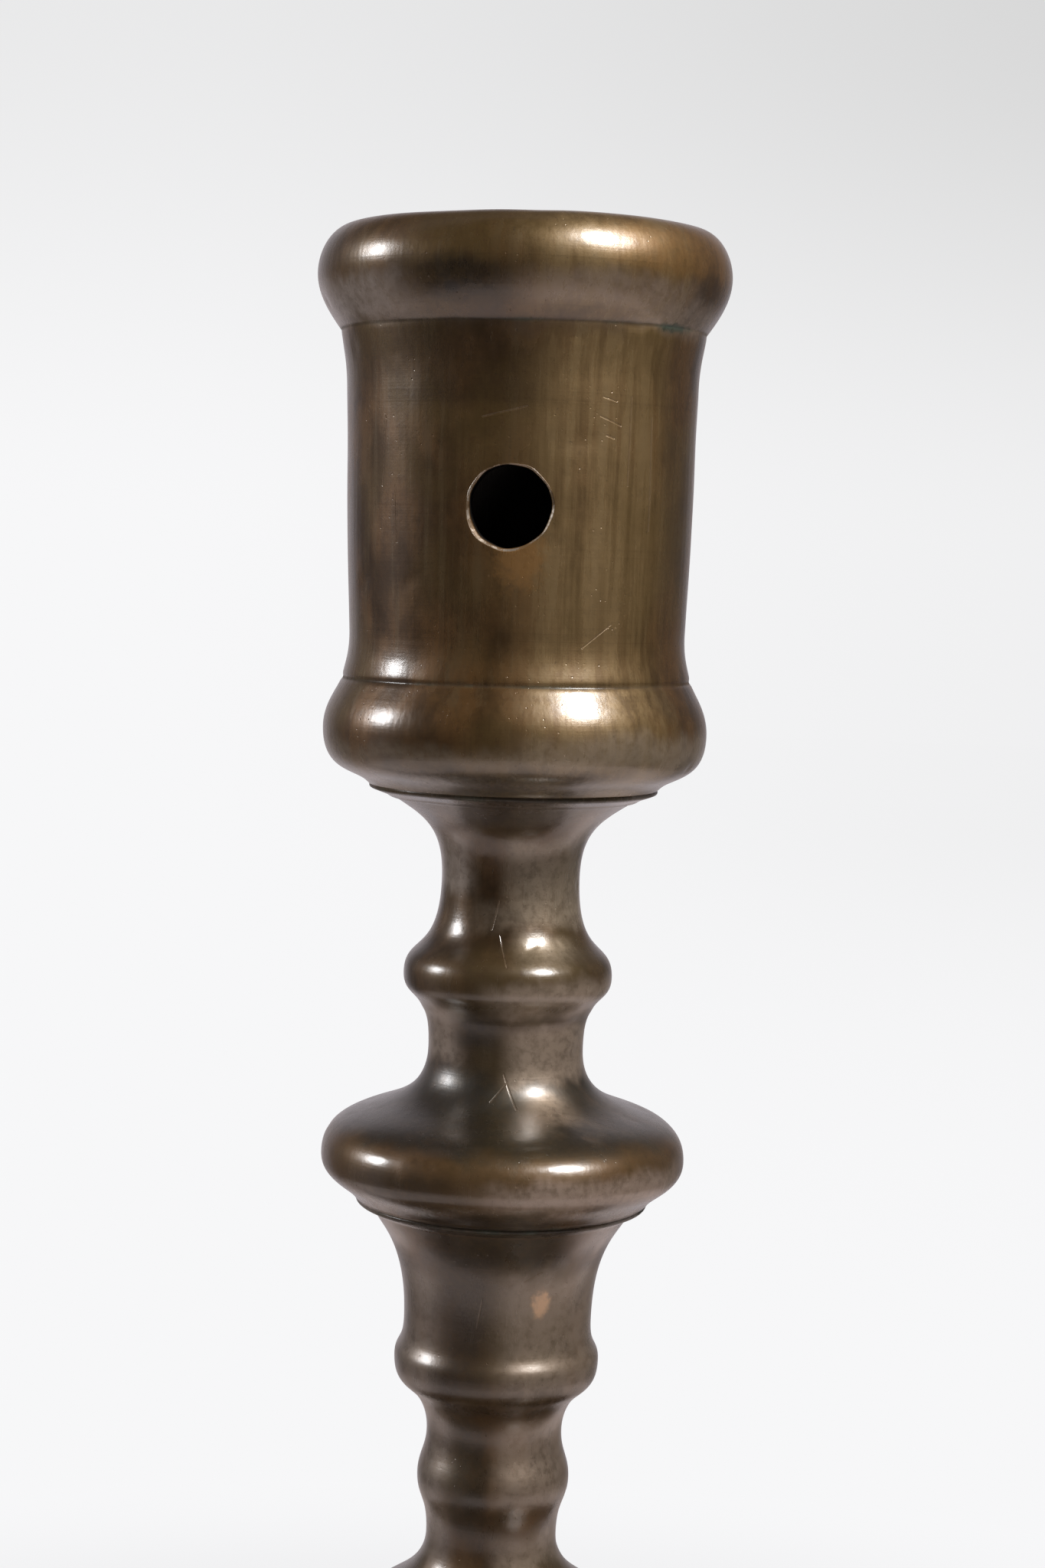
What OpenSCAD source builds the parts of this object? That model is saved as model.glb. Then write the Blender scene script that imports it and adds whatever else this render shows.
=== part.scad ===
// Turned bronze candlestick. A candle socket with a rolled rim is riveted to a baluster stem, which is
// screwed together at its large knop. A long tenon draws the stem down on a drip pan and a hollow bell foot.
// The origin is the centre of the foot's underside, +Z is up and the extraction hole faces -Y. Millimetres.

/* [Candle socket] */
// Diameter of the candle
candle_d = 22; // [18:0.5:26]
// Play of the candle in its bore, on the diameter
candle_play = 0.8; // [0.2:0.1:1.2]
// Thinnest wall of the socket, at its waist
socket_wall = 2.8; // [1.6:0.05:4]
// How far the body widens from the waist to the rim, on the radius
body_flare = 0.5; // [0:0.05:1.5]
// How far the rim stands out from the body
rim_swell = 2.6; // [1:0.1:4]
// How far the bead at the foot stands out from the waist
bead_swell = 2.1; // [1.4:0.1:3]
// Height of the bead below its widest line
bead_under_h = 4.8; // [3:0.1:6]
// Height from the bead's widest line to the groove
bead_over_h = 4.2; // [3:0.1:8]
// How far the bead's upper end stands out from the waist
groove_low_swell = 0.65; // [0.4:0.05:1]
// How far the lip over the groove stands out from the waist
groove_high_swell = 0.5; // [0.3:0.05:0.9]
// Width of the turned groove
groove_w = 0.5; // [0.3:0.1:1]
// Depth of the turned groove
groove_depth = 0.25; // [0.1:0.05:0.5]
// Height from the groove to the waist
waist_h = 3.4; // [2:0.1:6]
// Height of the plain body
body_h = 20.2; // [14:0.1:40]
// Height of the cove under the rim
rim_cove_h = 4.8; // [3:0.1:8]
// How far that cove spreads, on the radius
rim_cove_w = 0.55; // [0.2:0.05:0.9]
// Width of the turned line in the crease under the rim
rim_line_w = 0.3; // [0.2:0.05:0.5]
// Depth of that turned line
rim_line_depth = 0.15; // [0.05:0.05:0.3]
// How far the rim starts outside that turned line
rim_line_rise = 0.2; // [0.1:0.05:0.4]
// Height of the rim from the turned line to its widest line
rim_under_h = 4.5; // [3:0.1:8]
// Height of the rim above its widest line
rim_over_h = 3.9; // [2.6:0.1:6]
// Depth of the rounding from the rim into the bore
lip_h = 2.2; // [1:0.1:2.5]
// Thickness of the socket's floor
floor_t = 4.5; // [3:0.1:6]
// Diameter of the extraction hole
hole_d = 6.5; // [4:0.1:9]
// Height of the extraction hole's centre over the floor
hole_over_floor = 19; // [12:0.1:22]
// Width of the bevel round the extraction hole
hole_bevel = 0.6; // [0.2:0.1:1]

/* [Joints] */
// Diameter of the seam between the socket and the stem
socket_seam_d = 24.6; // [22:0.1:27]
// Diameter of the seam between the large knop and the bell
bell_seam_d = 25.2; // [21:0.1:27]
// Diameter of the tenon that is riveted in the socket
rivet_d = 9; // [7:0.1:10]
// Diameter of the hammered head of that tenon, in its countersink
rivet_head_d = 13; // [12:0.1:16]
// Depth of the countersink
rivet_head_h = 2.2; // [1:0.1:2.6]
// How far the hammered head lies below the floor
rivet_sink = 0.2; // [0.1:0.1:0.6]
// Diameter of the screw between the two parts of the stem
screw_d = 8; // [6:0.1:9]
// Length of that screw
screw_l = 12; // [8:0.1:13]
// Free length past the end of the screw in its blind hole
screw_end_gap = 0.6; // [0.3:0.1:1.5]
// Diameter of the long tenon under the stem
tenon_d = 10; // [8:0.1:10.6]
// Length of the long tenon that shows under the nut
tenon_end_l = 1.5; // [1:0.1:4]
// Play of each tenon and screw in its hole, on the diameter
fit_play = 0.2; // [0.1:0.05:0.4]

/* [Upper stem] */
// Height of the collar under the socket
collar_h = 1; // [0.8:0.1:2]
// Height of the collar's upright edge at the seam
collar_edge_h = 0.3; // [0.1:0.05:0.5]
// Diameter of the collar's lower edge
collar_edge_d = 20.6; // [16:0.1:21]
// Height of the trumpet neck
trumpet_h = 6.9; // [5:0.1:14]
// Diameter of the neck at its narrowest
neck_d = 11.8; // [10:0.1:14]
// Height from the neck down to the small knop's widest line
small_knop_over_h = 8.3; // [5:0.1:12]
// Diameter of the small knop
small_knop_d = 17.9; // [15:0.1:22]
// Height of the small knop below its widest line
small_knop_under_h = 2.9; // [2:0.05:5]
// Diameter of the edge under the small knop
spool_edge_d = 14.6; // [13.6:0.1:15]
// Height from that edge to the spool's narrowest line
spool_h = 3.45; // [2:0.05:6]
// Diameter of the spool at its narrowest
spool_d = 13.3; // [12:0.1:13.6]
// Height from the spool down to the large knop's widest line
large_knop_over_h = 9.4; // [7:0.1:14]
// Diameter of the large knop
large_knop_d = 31.3; // [28:0.1:36]
// Height of the large knop below its widest line
large_knop_under_h = 3.75; // [3:0.05:7]

/* [Lower stem] */
// Height of the collar under the large knop
bell_collar_h = 0.8; // [0.6:0.1:2]
// Height of that collar's upright edge at the seam
bell_collar_edge_h = 0.25; // [0.1:0.05:0.5]
// Diameter of that collar's lower edge
bell_edge_d = 22.4; // [18:0.1:22.8]
// Height of the bell
bell_h = 9.9; // [6:0.1:16]
// Diameter of the bell at its narrowest
bell_d = 16.3; // [14:0.1:17]
// Height from the bell down to the ring's widest line
ring_over_h = 3.3; // [2.5:0.1:6]
// Diameter of the ring
ring_d = 17.8; // [17.2:0.1:22]
// Height of the ring below its widest line
ring_under_h = 3.55; // [2.5:0.05:6]
// Diameter of the edge under the ring
ring_edge_d = 13.6; // [12.4:0.1:14.5]
// Height from that edge down to the throat
throat_h = 3.05; // [1.5:0.05:6]
// Diameter of the throat
throat_d = 11.8; // [11:0.1:12.2]
// Height from the throat down to the bulb's widest line
bulb_over_h = 4; // [3:0.1:8]
// Diameter of the bulb
bulb_d = 13.3; // [12.5:0.1:17]
// Height of the bulb below its widest line
bulb_under_h = 5.2; // [3:0.1:8]
// Diameter of the lower neck
lower_neck_d = 11.4; // [10.8:0.1:12.3]
// Height from the lower neck down to the foot knop's widest line
foot_knop_over_h = 9.1; // [7:0.1:14]
// Diameter of the foot knop
foot_knop_d = 25.6; // [22:0.1:30]
// Height of the foot knop below its widest line
foot_knop_under_h = 4.2; // [3:0.1:7]
// Diameter of the edge under the foot knop
foot_edge_d = 17.6; // [16.2:0.1:20]
// Height from that edge down to the foot's narrowest line
foot_neck_h = 2.4; // [1.5:0.1:5]
// Diameter of the foot at its narrowest
foot_neck_d = 15.4; // [14:0.1:16]
// Height of the spreading foot
foot_h = 9; // [6:0.1:14]
// Height of the foot's upright edge
foot_rim_h = 1.2; // [0.8:0.1:2.5]
// Diameter of the spreading foot
foot_d = 31; // [26:0.1:33]

/* [Drip pan] */
// Diameter of the drip pan
pan_d = 88; // [76:1:100]
// Thickness of the pan's floor
pan_floor_t = 2.2; // [1.6:0.1:4]
// Height of the pan's hub, from the base to the stem
pan_hub_h = 8; // [6.5:0.1:12]
// Diameter of the raised boss that the stem stands on
pan_boss_d = 34; // [33.5:0.1:40]
// Diameter of the flat seat under the hub
pan_seat_d = 33; // [31.4:0.1:36]
// How far the pan's floor is lifted clear of the base
pan_lift = 0.7; // [0.3:0.1:1.5]
// Height of the pan's rim over the underside of its hub
pan_rim_h = 8; // [7.2:0.1:12]
// Width of the cove between the boss and the floor
pan_cove_w = 4; // [2:0.1:6]
// Height of the boss's upright edge
pan_boss_edge_h = 1.6; // [0.8:0.1:3]
// Diameter of the turned line in the pan's floor
pan_line_d = 60; // [54:0.5:64]
// Width of that turned line
pan_line_w = 0.5; // [0.3:0.05:0.8]
// Depth of that turned line
pan_line_depth = 0.25; // [0.1:0.05:0.5]
// Width of the sloping wall between the floor and the lip
pan_slope_w = 6.5; // [5:0.1:10]
// Width of the pan's rolled lip
pan_lip_w = 2.6; // [2:0.1:4]
// Height of the rolled lip above its inner edge
pan_lip_in_h = 0.8; // [0.4:0.1:1.4]
// Height of the rolled lip above its widest line
pan_lip_out_h = 1.3; // [0.7:0.1:2]
// Width of the roll under the lip
pan_lip_under_w = 1; // [0.6:0.1:1.6]

/* [Base] */
// Diameter of the base
base_d = 114; // [100:1:140]
// Height of the base
base_h = 48; // [40:0.5:70]
// Wall of the hollow base
base_wall = 2.8; // [2:0.1:4.5]
// Diameter of the bead at the top of the base
base_bead_d = 31; // [29:0.1:34]
// Height of that bead
base_bead_h = 3; // [2:0.1:5]
// Diameter of the base's neck
base_neck_d = 26.6; // [25.8:0.1:28.6]
// How far that bead stands out from the hub's top
base_bead_out = 0.8; // [0.4:0.1:1.4]
// Height from the bead down to the neck
base_neck_h = 3.6; // [2:0.1:6]
// Thickness of the hub inside the base
hub_t = 10; // [7:0.1:14]
// Height of the moulding round the foot of the base
moulding_h = 11.5; // [9:0.1:14]
// Width of that moulding
moulding_w = 7; // [5.5:0.1:9]
// Height of the upright fillet at the top of the moulding
fillet_h = 1.3; // [0.6:0.1:2]
// Width of the ledge under that fillet
fillet_w = 0.8; // [0.4:0.1:1.6]
// Height of the flat band round the foot
band_h = 4.6; // [3:0.1:6]
// Height of the undercut below that band
band_foot_h = 2.3; // [1.2:0.1:2.8]
// Depth of that undercut, inwards
undercut_w = 0.8; // [0.4:0.1:1.4]
// Height of the bevel over that undercut
undercut_h = 0.6; // [0.3:0.1:1]
// Width of the ring that the base stands on
standing_w = 3.2; // [2:0.1:5]

/* [Fasteners] */
// Diameter of the washer under the hub
washer_d = 18.6; // [15:0.1:19]
// Thickness of the washer
washer_t = 1.4; // [0.8:0.1:2.5]
// Width across the flats of the square nut
nut_w = 14; // [13:0.1:15]
// Height of the nut
nut_h = 6; // [4:0.1:9]
// Radius of the nut's lower face, inside its bevelled corners
nut_face_r = 9; // [8:0.1:9.4]
// Height of the bevel at the nut's corners
nut_bevel_h = 1.2; // [0.6:0.1:2]

/* [Hidden] */
bronze = "#5f4c2c";
bronze_dark = "#524227";
iron = "#3d3a37";
$fn = 96;
eps = 0.01;

// Steps along one turned curve
steps = 10;

// Heights of the seats, from the floor up
pan_z = base_h;
foot_z = pan_z + pan_hub_h;
lower_stem_h = bell_collar_h + bell_h + ring_over_h + ring_under_h + throat_h + bulb_over_h
  + bulb_under_h + foot_knop_over_h + foot_knop_under_h + foot_neck_h + foot_h;
bell_seam_z = foot_z + lower_stem_h;
upper_stem_h = collar_h + trumpet_h + small_knop_over_h + small_knop_under_h + spool_h
  + large_knop_over_h + large_knop_under_h;
socket_seam_z = bell_seam_z + upper_stem_h;
socket_h = bead_under_h + bead_over_h + groove_w + waist_h + body_h + rim_cove_h + rim_line_w
  + rim_under_h + rim_over_h;

// Radii of the socket, from its bore outwards
bore_r = (candle_d + candle_play) / 2;
waist_r = bore_r + socket_wall;
body_top_r = waist_r + body_flare;
rim_r = body_top_r + rim_swell;
bead_r = waist_r + bead_swell;
lip_r = (rim_r + bore_r) / 2;
hole_z = floor_t + hole_over_floor;

// Length of the long tenon, through the pan, the hub, the washer and the nut
tenon_l = pan_hub_h + hub_t + washer_t + nut_h + tenon_end_l;
tenon_hole_r = (tenon_d + fit_play) / 2;

// Depth of the countersink down to the hole for the riveted tenon
countersink_h = rivet_head_h * (rivet_head_d - rivet_d - fit_play) / (rivet_head_d - rivet_d);
tenon_chamfer = 0.8;

// Bends of the turned curves: how far each of a curve's two control points lies from its own end, as
// shares of the run across the axis and along it. A bend of [0, s] leaves its end along the axis.
bead_under_bend = [[0.27, 0.3], [0, 0.85]];
bead_over_bend = [[0, 0.45], [0.34, 0.26]];
waist_bend = [[0.49, 0.34], [0, 0.5]];
body_bend = [[0.54, 0.33], [0.17, 0.33]];
rim_cove_bend = [[0, 0.49], [0.45, 0.34]];
rim_under_bend = [[0.35, 0.22], [0, 0.42]];
rim_over_bend = [[0, 0.5], [0.58, 0]];
lip_bend = [[0.5, 0], [0, 0.5]];
trumpet_bend = [[0.6, 0.24], [0, 0.63]];
small_knop_over_bend = [[0, 0.83], [0, 0.39]];
small_knop_under_bend = [[0, 0.56], [0.36, 0.47]];
spool_bend = [[0.74, 0.19], [0, 0.49]];
large_knop_over_bend = [[0, 0.72], [0, 0.61]];
large_knop_under_bend = [[0, 0.56], [0.3, 0.3]];
bell_bend = [[0.25, 0.16], [0, 0.69]];
ring_over_bend = [[0, 0.71], [0, 0.42]];
ring_under_bend = [[0, 0.68], [0.51, 0.39]];
throat_bend = [[0.75, 0.32], [0, 0.32]];
bulb_over_bend = [[0, 0.46], [0, 0.38]];
bulb_under_bend = [[0, 0.41], [0, 0.62]];
foot_knop_over_bend = [[0, 0.55], [0, 0.42]];
foot_knop_under_bend = [[0, 0.42], [0.42, 0.15]];
foot_neck_bend = [[0.6, 0.2], [0, 0.33]];
foot_bend = [[0, 0.7], [0.4, 0.12]];
round_out_bend = [[0.55, 0], [0, 0.55]];
round_in_bend = [[0, 0.55], [0.55, 0]];
base_outer_bend = [[0, 0.62], [0.55, 0.08]];
base_inner_bend = [[0, 0.55], [0.55, 0.08]];

// Points of one turned curve from a to b, without a itself. Points are [radius, height].
function turned(a, b, bend, n = steps) = [
  for (i = [1:n])
    let (t = i / n)
    let (s = 1 - t)
    let (p = a + [bend[0].x * (b.x - a.x), bend[0].y * (b.y - a.y)])
    let (q = b - [bend[1].x * (b.x - a.x), bend[1].y * (b.y - a.y)])
    s * s * s * a + 3 * s * s * t * p + 3 * s * t * t * q + t * t * t * b
];

module lathe(outline) {
  rotate_extrude()
    polygon(outline);
}

// Extraction hole, with its mouth bevelled, along -Y from inside the bore
module extraction_cut() {
  face_y = (waist_r + body_top_r) / 2;
  reach = hole_bevel + rim_swell;
  translate([0, 0, hole_z])
    rotate([90, 0, 0]) {
      translate([0, 0, bore_r / 2])
        cylinder(d = hole_d, h = face_y);
      translate([0, 0, face_y - hole_bevel])
        cylinder(d1 = hole_d, d2 = hole_d + 2 * reach, h = reach);
    }
}

module candle_socket() {
  seat_r = socket_seam_d / 2;
  hole_r = (rivet_d + fit_play) / 2;
  bead = [bead_r, bead_under_h];
  lower_lip = [waist_r + groove_low_swell, bead.y + bead_over_h];
  upper_lip = [waist_r + groove_high_swell, lower_lip.y + groove_w];
  groove = [upper_lip.x - groove_depth, (lower_lip.y + upper_lip.y) / 2];
  waist = [waist_r, upper_lip.y + waist_h];
  body_top = [body_top_r, waist.y + body_h];
  crease = [body_top_r + rim_cove_w, body_top.y + rim_cove_h];
  rim_line = [crease.x - rim_line_depth, crease.y + rim_line_w / 2];
  rim_start = [crease.x + rim_line_rise, crease.y + rim_line_w];
  rim = [rim_r, rim_start.y + rim_under_h];
  top = [lip_r, rim.y + rim_over_h];
  mouth = [bore_r, top.y - lip_h];
  color(bronze)
    translate([0, 0, socket_seam_z])
    difference() {
      lathe(concat(
        [[hole_r, 0], [seat_r, 0]],
        turned([seat_r, 0], bead, bead_under_bend),
        turned(bead, lower_lip, bead_over_bend),
        [groove, upper_lip],
        turned(upper_lip, waist, waist_bend),
        turned(waist, body_top, body_bend),
        turned(body_top, crease, rim_cove_bend),
        [rim_line, rim_start],
        turned(rim_start, rim, rim_under_bend),
        turned(rim, top, rim_over_bend),
        turned(top, mouth, lip_bend),
        [[bore_r, floor_t], [rivet_head_d / 2, floor_t], [hole_r, floor_t - countersink_h]]
      ));
      extraction_cut();
    }
}

module upper_stem() {
  seam_r = socket_seam_d / 2;
  arris = [collar_edge_d / 2, -collar_h];
  neck = [neck_d / 2, arris.y - trumpet_h];
  small_knop = [small_knop_d / 2, neck.y - small_knop_over_h];
  spool_edge = [spool_edge_d / 2, small_knop.y - small_knop_under_h];
  spool = [spool_d / 2, spool_edge.y - spool_h];
  large_knop = [large_knop_d / 2, spool.y - large_knop_over_h];
  seat = [bell_seam_d / 2, large_knop.y - large_knop_under_h];
  bore = [(screw_d + fit_play) / 2, seat.y + screw_l + screw_end_gap];
  head_z = floor_t - rivet_sink;
  head_r = (rivet_head_d - (rivet_head_d - rivet_d) * rivet_sink / rivet_head_h) / 2;
  color(bronze_dark)
    translate([0, 0, socket_seam_z])
    lathe(concat(
      [[0, head_z], [head_r, head_z], [rivet_d / 2, floor_t - rivet_head_h], [rivet_d / 2, 0]],
      [[seam_r, 0], [seam_r, -collar_edge_h], arris],
      turned(arris, neck, trumpet_bend),
      turned(neck, small_knop, small_knop_over_bend),
      turned(small_knop, spool_edge, small_knop_under_bend),
      turned(spool_edge, spool, spool_bend),
      turned(spool, large_knop, large_knop_over_bend),
      turned(large_knop, seat, large_knop_under_bend),
      [[bore.x, seat.y], bore, [0, bore.y]]
    ));
}

module lower_stem() {
  seam_r = bell_seam_d / 2;
  screw_r = screw_d / 2;
  tenon_r = tenon_d / 2;
  arris = [bell_edge_d / 2, -bell_collar_h];
  bell = [bell_d / 2, arris.y - bell_h];
  ring = [ring_d / 2, bell.y - ring_over_h];
  ring_edge = [ring_edge_d / 2, ring.y - ring_under_h];
  throat = [throat_d / 2, ring_edge.y - throat_h];
  bulb = [bulb_d / 2, throat.y - bulb_over_h];
  lower_neck = [lower_neck_d / 2, bulb.y - bulb_under_h];
  foot_knop = [foot_knop_d / 2, lower_neck.y - foot_knop_over_h];
  foot_edge = [foot_edge_d / 2, foot_knop.y - foot_knop_under_h];
  foot_neck = [foot_neck_d / 2, foot_edge.y - foot_neck_h];
  foot_top = [foot_d / 2, foot_rim_h - lower_stem_h];
  end_z = -lower_stem_h - tenon_l;
  color(bronze)
    translate([0, 0, bell_seam_z])
    lathe(concat(
      [[0, screw_l], [screw_r - tenon_chamfer, screw_l], [screw_r, screw_l - tenon_chamfer]],
      [[screw_r, 0], [seam_r, 0], [seam_r, -bell_collar_edge_h], arris],
      turned(arris, bell, bell_bend),
      turned(bell, ring, ring_over_bend),
      turned(ring, ring_edge, ring_under_bend),
      turned(ring_edge, throat, throat_bend),
      turned(throat, bulb, bulb_over_bend),
      turned(bulb, lower_neck, bulb_under_bend),
      turned(lower_neck, foot_knop, foot_knop_over_bend),
      turned(foot_knop, foot_edge, foot_knop_under_bend),
      turned(foot_edge, foot_neck, foot_neck_bend),
      turned(foot_neck, foot_top, foot_bend),
      [[foot_d / 2, -lower_stem_h], [tenon_r, -lower_stem_h]],
      [[tenon_r, end_z + tenon_chamfer], [tenon_r - tenon_chamfer, end_z], [0, end_z]]
    ));
}

module drip_pan() {
  pan_r = pan_d / 2;
  boss_r = pan_boss_d / 2;
  seat_r = pan_seat_d / 2;
  well_z = pan_lift + pan_floor_t;
  line_r = pan_line_d / 2;
  well_in = [boss_r + pan_cove_w, well_z];
  well_out = [pan_r - pan_slope_w, well_z];
  under = [well_out.x - pan_floor_t / 2, pan_lift];
  lip_in = [pan_r - pan_lip_w, pan_rim_h - pan_lip_in_h];
  lip_top = [pan_r - pan_lip_w / 2, pan_rim_h];
  lip_out = [pan_r, pan_rim_h - pan_lip_out_h];
  lip_under = [pan_r - pan_lip_under_w, lip_out.y - pan_lip_out_h];
  color(bronze_dark)
    translate([0, 0, pan_z])
    lathe(concat(
      [[tenon_hole_r, 0], [seat_r, 0], [seat_r, pan_lift], under],
      turned(under, lip_under, round_out_bend),
      turned(lip_under, lip_out, round_out_bend, 4),
      turned(lip_out, lip_top, round_in_bend, 5),
      turned(lip_top, lip_in, round_out_bend, 5),
      turned(lip_in, well_out, round_in_bend),
      [[line_r + pan_line_w / 2, well_z], [line_r, well_z - pan_line_depth]],
      [[line_r - pan_line_w / 2, well_z], well_in],
      turned(well_in, [boss_r, pan_hub_h - pan_boss_edge_h], round_out_bend),
      [[boss_r, pan_hub_h], [tenon_hole_r, pan_hub_h]]
    ));
}

module base() {
  base_r = base_d / 2;
  neck_r = base_neck_d / 2;
  hub_z = base_h - hub_t;
  step_r = base_r - moulding_w;
  bead_r = base_bead_d / 2;
  bead_z = base_h - base_bead_h / 2;
  bead_top = [bead_r - base_bead_out, base_h];
  bead_end = [bead_r - base_bead_out, base_h - base_bead_h];
  neck = [neck_r, bead_end.y - base_neck_h];
  step = [step_r, moulding_h];
  shoulder = [step_r + fillet_w, moulding_h - fillet_h];
  band = [base_r, band_h];
  stand_r = base_r - undercut_w;
  inner_foot = [stand_r - standing_w, 0];
  inner_step = [step_r - base_wall, moulding_h - base_wall];
  hub_edge = [neck_r - base_wall, hub_z];
  color(bronze)
    lathe(concat(
      [[tenon_hole_r, base_h], bead_top],
      turned(bead_top, [bead_r, bead_z], round_out_bend, 5),
      turned([bead_r, bead_z], bead_end, round_in_bend, 5),
      turned(bead_end, neck, round_out_bend),
      turned(neck, step, base_outer_bend, 16),
      [[shoulder.x, step.y], shoulder],
      turned(shoulder, band, round_out_bend),
      [[base_r, band_foot_h], [stand_r, band_foot_h - undercut_h], [stand_r, 0], inner_foot],
      [[inner_foot.x, band_foot_h]],
      turned([inner_foot.x, band_foot_h], inner_step, round_in_bend),
      turned(inner_step, hub_edge, [base_inner_bend[1], base_inner_bend[0]], 16),
      [[tenon_hole_r, hub_z]]
    ));
}

module base_washer() {
  color(iron)
    translate([0, 0, base_h - hub_t - washer_t])
    lathe([
      [tenon_hole_r, 0],
      [washer_d / 2, 0],
      [washer_d / 2, washer_t],
      [tenon_hole_r, washer_t]
    ]);
}

module base_nut() {
  corner_r = nut_face_r + nut_bevel_h;
  color(iron)
    translate([0, 0, base_h - hub_t - washer_t - nut_h])
    difference() {
      intersection() {
        translate([-nut_w / 2, -nut_w / 2, 0])
          cube([nut_w, nut_w, nut_h]);
        lathe([
          [0, 0],
          [nut_face_r, 0],
          [corner_r, nut_bevel_h],
          [corner_r, nut_h],
          [0, nut_h]
        ]);
      }
      translate([0, 0, -eps])
        cylinder(r = tenon_hole_r, h = nut_h + 2 * eps);
    }
}

candle_socket();
upper_stem();
lower_stem();
drip_pan();
base();
base_washer();
base_nut();
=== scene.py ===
import math
import random

import bpy
import numpy as np
from mathutils import Matrix, Vector


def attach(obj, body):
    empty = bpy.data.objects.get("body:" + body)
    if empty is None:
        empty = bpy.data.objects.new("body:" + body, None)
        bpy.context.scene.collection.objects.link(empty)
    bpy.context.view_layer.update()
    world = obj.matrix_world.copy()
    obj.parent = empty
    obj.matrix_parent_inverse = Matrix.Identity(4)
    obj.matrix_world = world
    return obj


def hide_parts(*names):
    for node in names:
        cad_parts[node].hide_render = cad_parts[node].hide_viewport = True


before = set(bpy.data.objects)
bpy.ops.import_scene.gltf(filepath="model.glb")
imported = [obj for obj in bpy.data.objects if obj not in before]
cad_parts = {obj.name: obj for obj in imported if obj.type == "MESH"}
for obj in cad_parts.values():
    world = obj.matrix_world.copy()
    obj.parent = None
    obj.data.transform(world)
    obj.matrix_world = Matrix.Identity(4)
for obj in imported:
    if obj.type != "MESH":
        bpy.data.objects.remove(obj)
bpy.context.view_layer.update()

MM = 0.001

# Sizes that pieces share, in millimetres, as in the CAD source. FIT is the room round a tenon in its hole.
FIT = 0.1
SCREW_R = 4
SCREW_L = 12
SCREW_END_GAP = 0.6
TENON_R = 5
TENON_END_L = 1.5
TENON_CHAMFER = 0.8
SOCKET_SEAM_R = 12.3
BELL_SEAM_R = 12.6

# Heights of the pieces and of their seats
BASE_H = 48
HUB_T = 10
WASHER_T = 1.4
NUT_H = 6
PAN_HUB_H = 8
FOOT_Z = BASE_H + PAN_HUB_H
LOWER_H = 54.5
BELL_SEAM_Z = FOOT_Z + LOWER_H
UPPER_H = 35.7
SOCKET_SEAM_Z = BELL_SEAM_Z + UPPER_H
TENON_BELOW = PAN_HUB_H + HUB_T + WASHER_T + NUT_H + TENON_END_L

# Candle socket, with heights over its seat
BORE_R = 11.4
WAIST_R = 14.2
BODY_TOP_R = 14.7
RIM_R = 17.3
LIP_R = (RIM_R + BORE_R) / 2
BEAD = (16.3, 4.8)
GROOVE_LOW = (WAIST_R + 0.65, 9)
GROOVE_HIGH = (WAIST_R + 0.5, 9.5)
GROOVE_Z = 9.25
WAIST_Z = 12.9
BODY_TOP_Z = 33.1
RIM_COVE = (BODY_TOP_R + 0.55, 37.9)
RIM_LINE_Z = 38.05
RIM_FOOT_Z = 38.2
RIM_Z = 42.7
LIP_Z = 46.6
BORE_TOP_Z = 44.4
FLOOR_T = 4.5
HOLE_R = 3.25
HOLE_Z = 23.5
RIVET_R = 4.5
RIVET_HEAD_R = 6.5
RIVET_HEAD_H = 2.2
COUNTERSINK_H = 2.1

# Turned lines of the socket, shallower than in the CAD source because wear has softened them
GROOVE_DEPTH = 0.1
RIM_LINE_DEPTH = 0.05
RIM_LINE_RISE = 0.12

# Upper stem, with heights from the socket's seat
UPPER_RIDGE = ((10.85, -0.84), (10.5, -1.1), (10.25, -1.04))
NECK = (5.9, -7.9)
SMALL_KNOP = (8.95, -16.2)
SPOOL_EDGE = (7.3, -19.1)
SPOOL = (6.65, -22.55)
LARGE_KNOP = (15.65, -31.95)
KNOP_FOOT = (12.98, -35.24)
SEAM_LINE = ((12.84, -35.28), (12.83, -35.43))
# The hammered head is a little domed: depth of its middle and of its edge under the socket's floor
RIVET_SINK = 0.05
RIVET_ROUND = 0.3

# Lower stem, with heights from the seat on its own collar
LOWER_RIDGE = ((11.7, -0.66), (11.35, -0.92), (11.14, -0.86))
BELL = (8.15, -10.7)
RING = (8.9, -14)
RING_EDGE = (6.8, -17.55)
THROAT = (5.9, -20.6)
BULB = (6.65, -24.6)
LOWER_NECK = (5.7, -29.8)
FOOT_KNOP = (12.8, -38.9)
FOOT_KNOP_EDGE = (8.8, -43.1)
FOOT_NECK = (7.7, -45.5)
FOOT_R = 15.5
FOOT_RIM_H = 1.2

# A collar's top is a little smaller than its edge and rises into the piece over it: a fine, closed seam
COLLAR_INSET = 0.02
COLLAR_RISE = 0.12

# Screw thread on the end of the long tenon, and the length that has close mesh rows for it
THREAD_PITCH = 1.25
THREAD_DEPTH = 0.55
THREAD_L = 10.5
THREAD_ROWS_L = 11
THREAD_INNER_R = 3.2

# Drip pan, with heights over its seat
PAN_SEAT_R = 16.5
PAN_LIFT = 0.7
PAN_UNDER_R = 36.4
PAN_RIM_ROOT = (43, 5.4)
PAN_RIM_WIDEST = (44, 6.7)
PAN_RIM_TOP = (42.7, 8)
PAN_RIM_INNER = (41.4, 7.2)
PAN_WELL_R = 37.5
PAN_WELL_Z = 2.9
PAN_LINE_R = 30
PAN_LINE_W = 0.5
PAN_LINE_DEPTH = 0.25
PAN_BOSS_FOOT_R = 21
PAN_BOSS = (17, 6.4)

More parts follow.
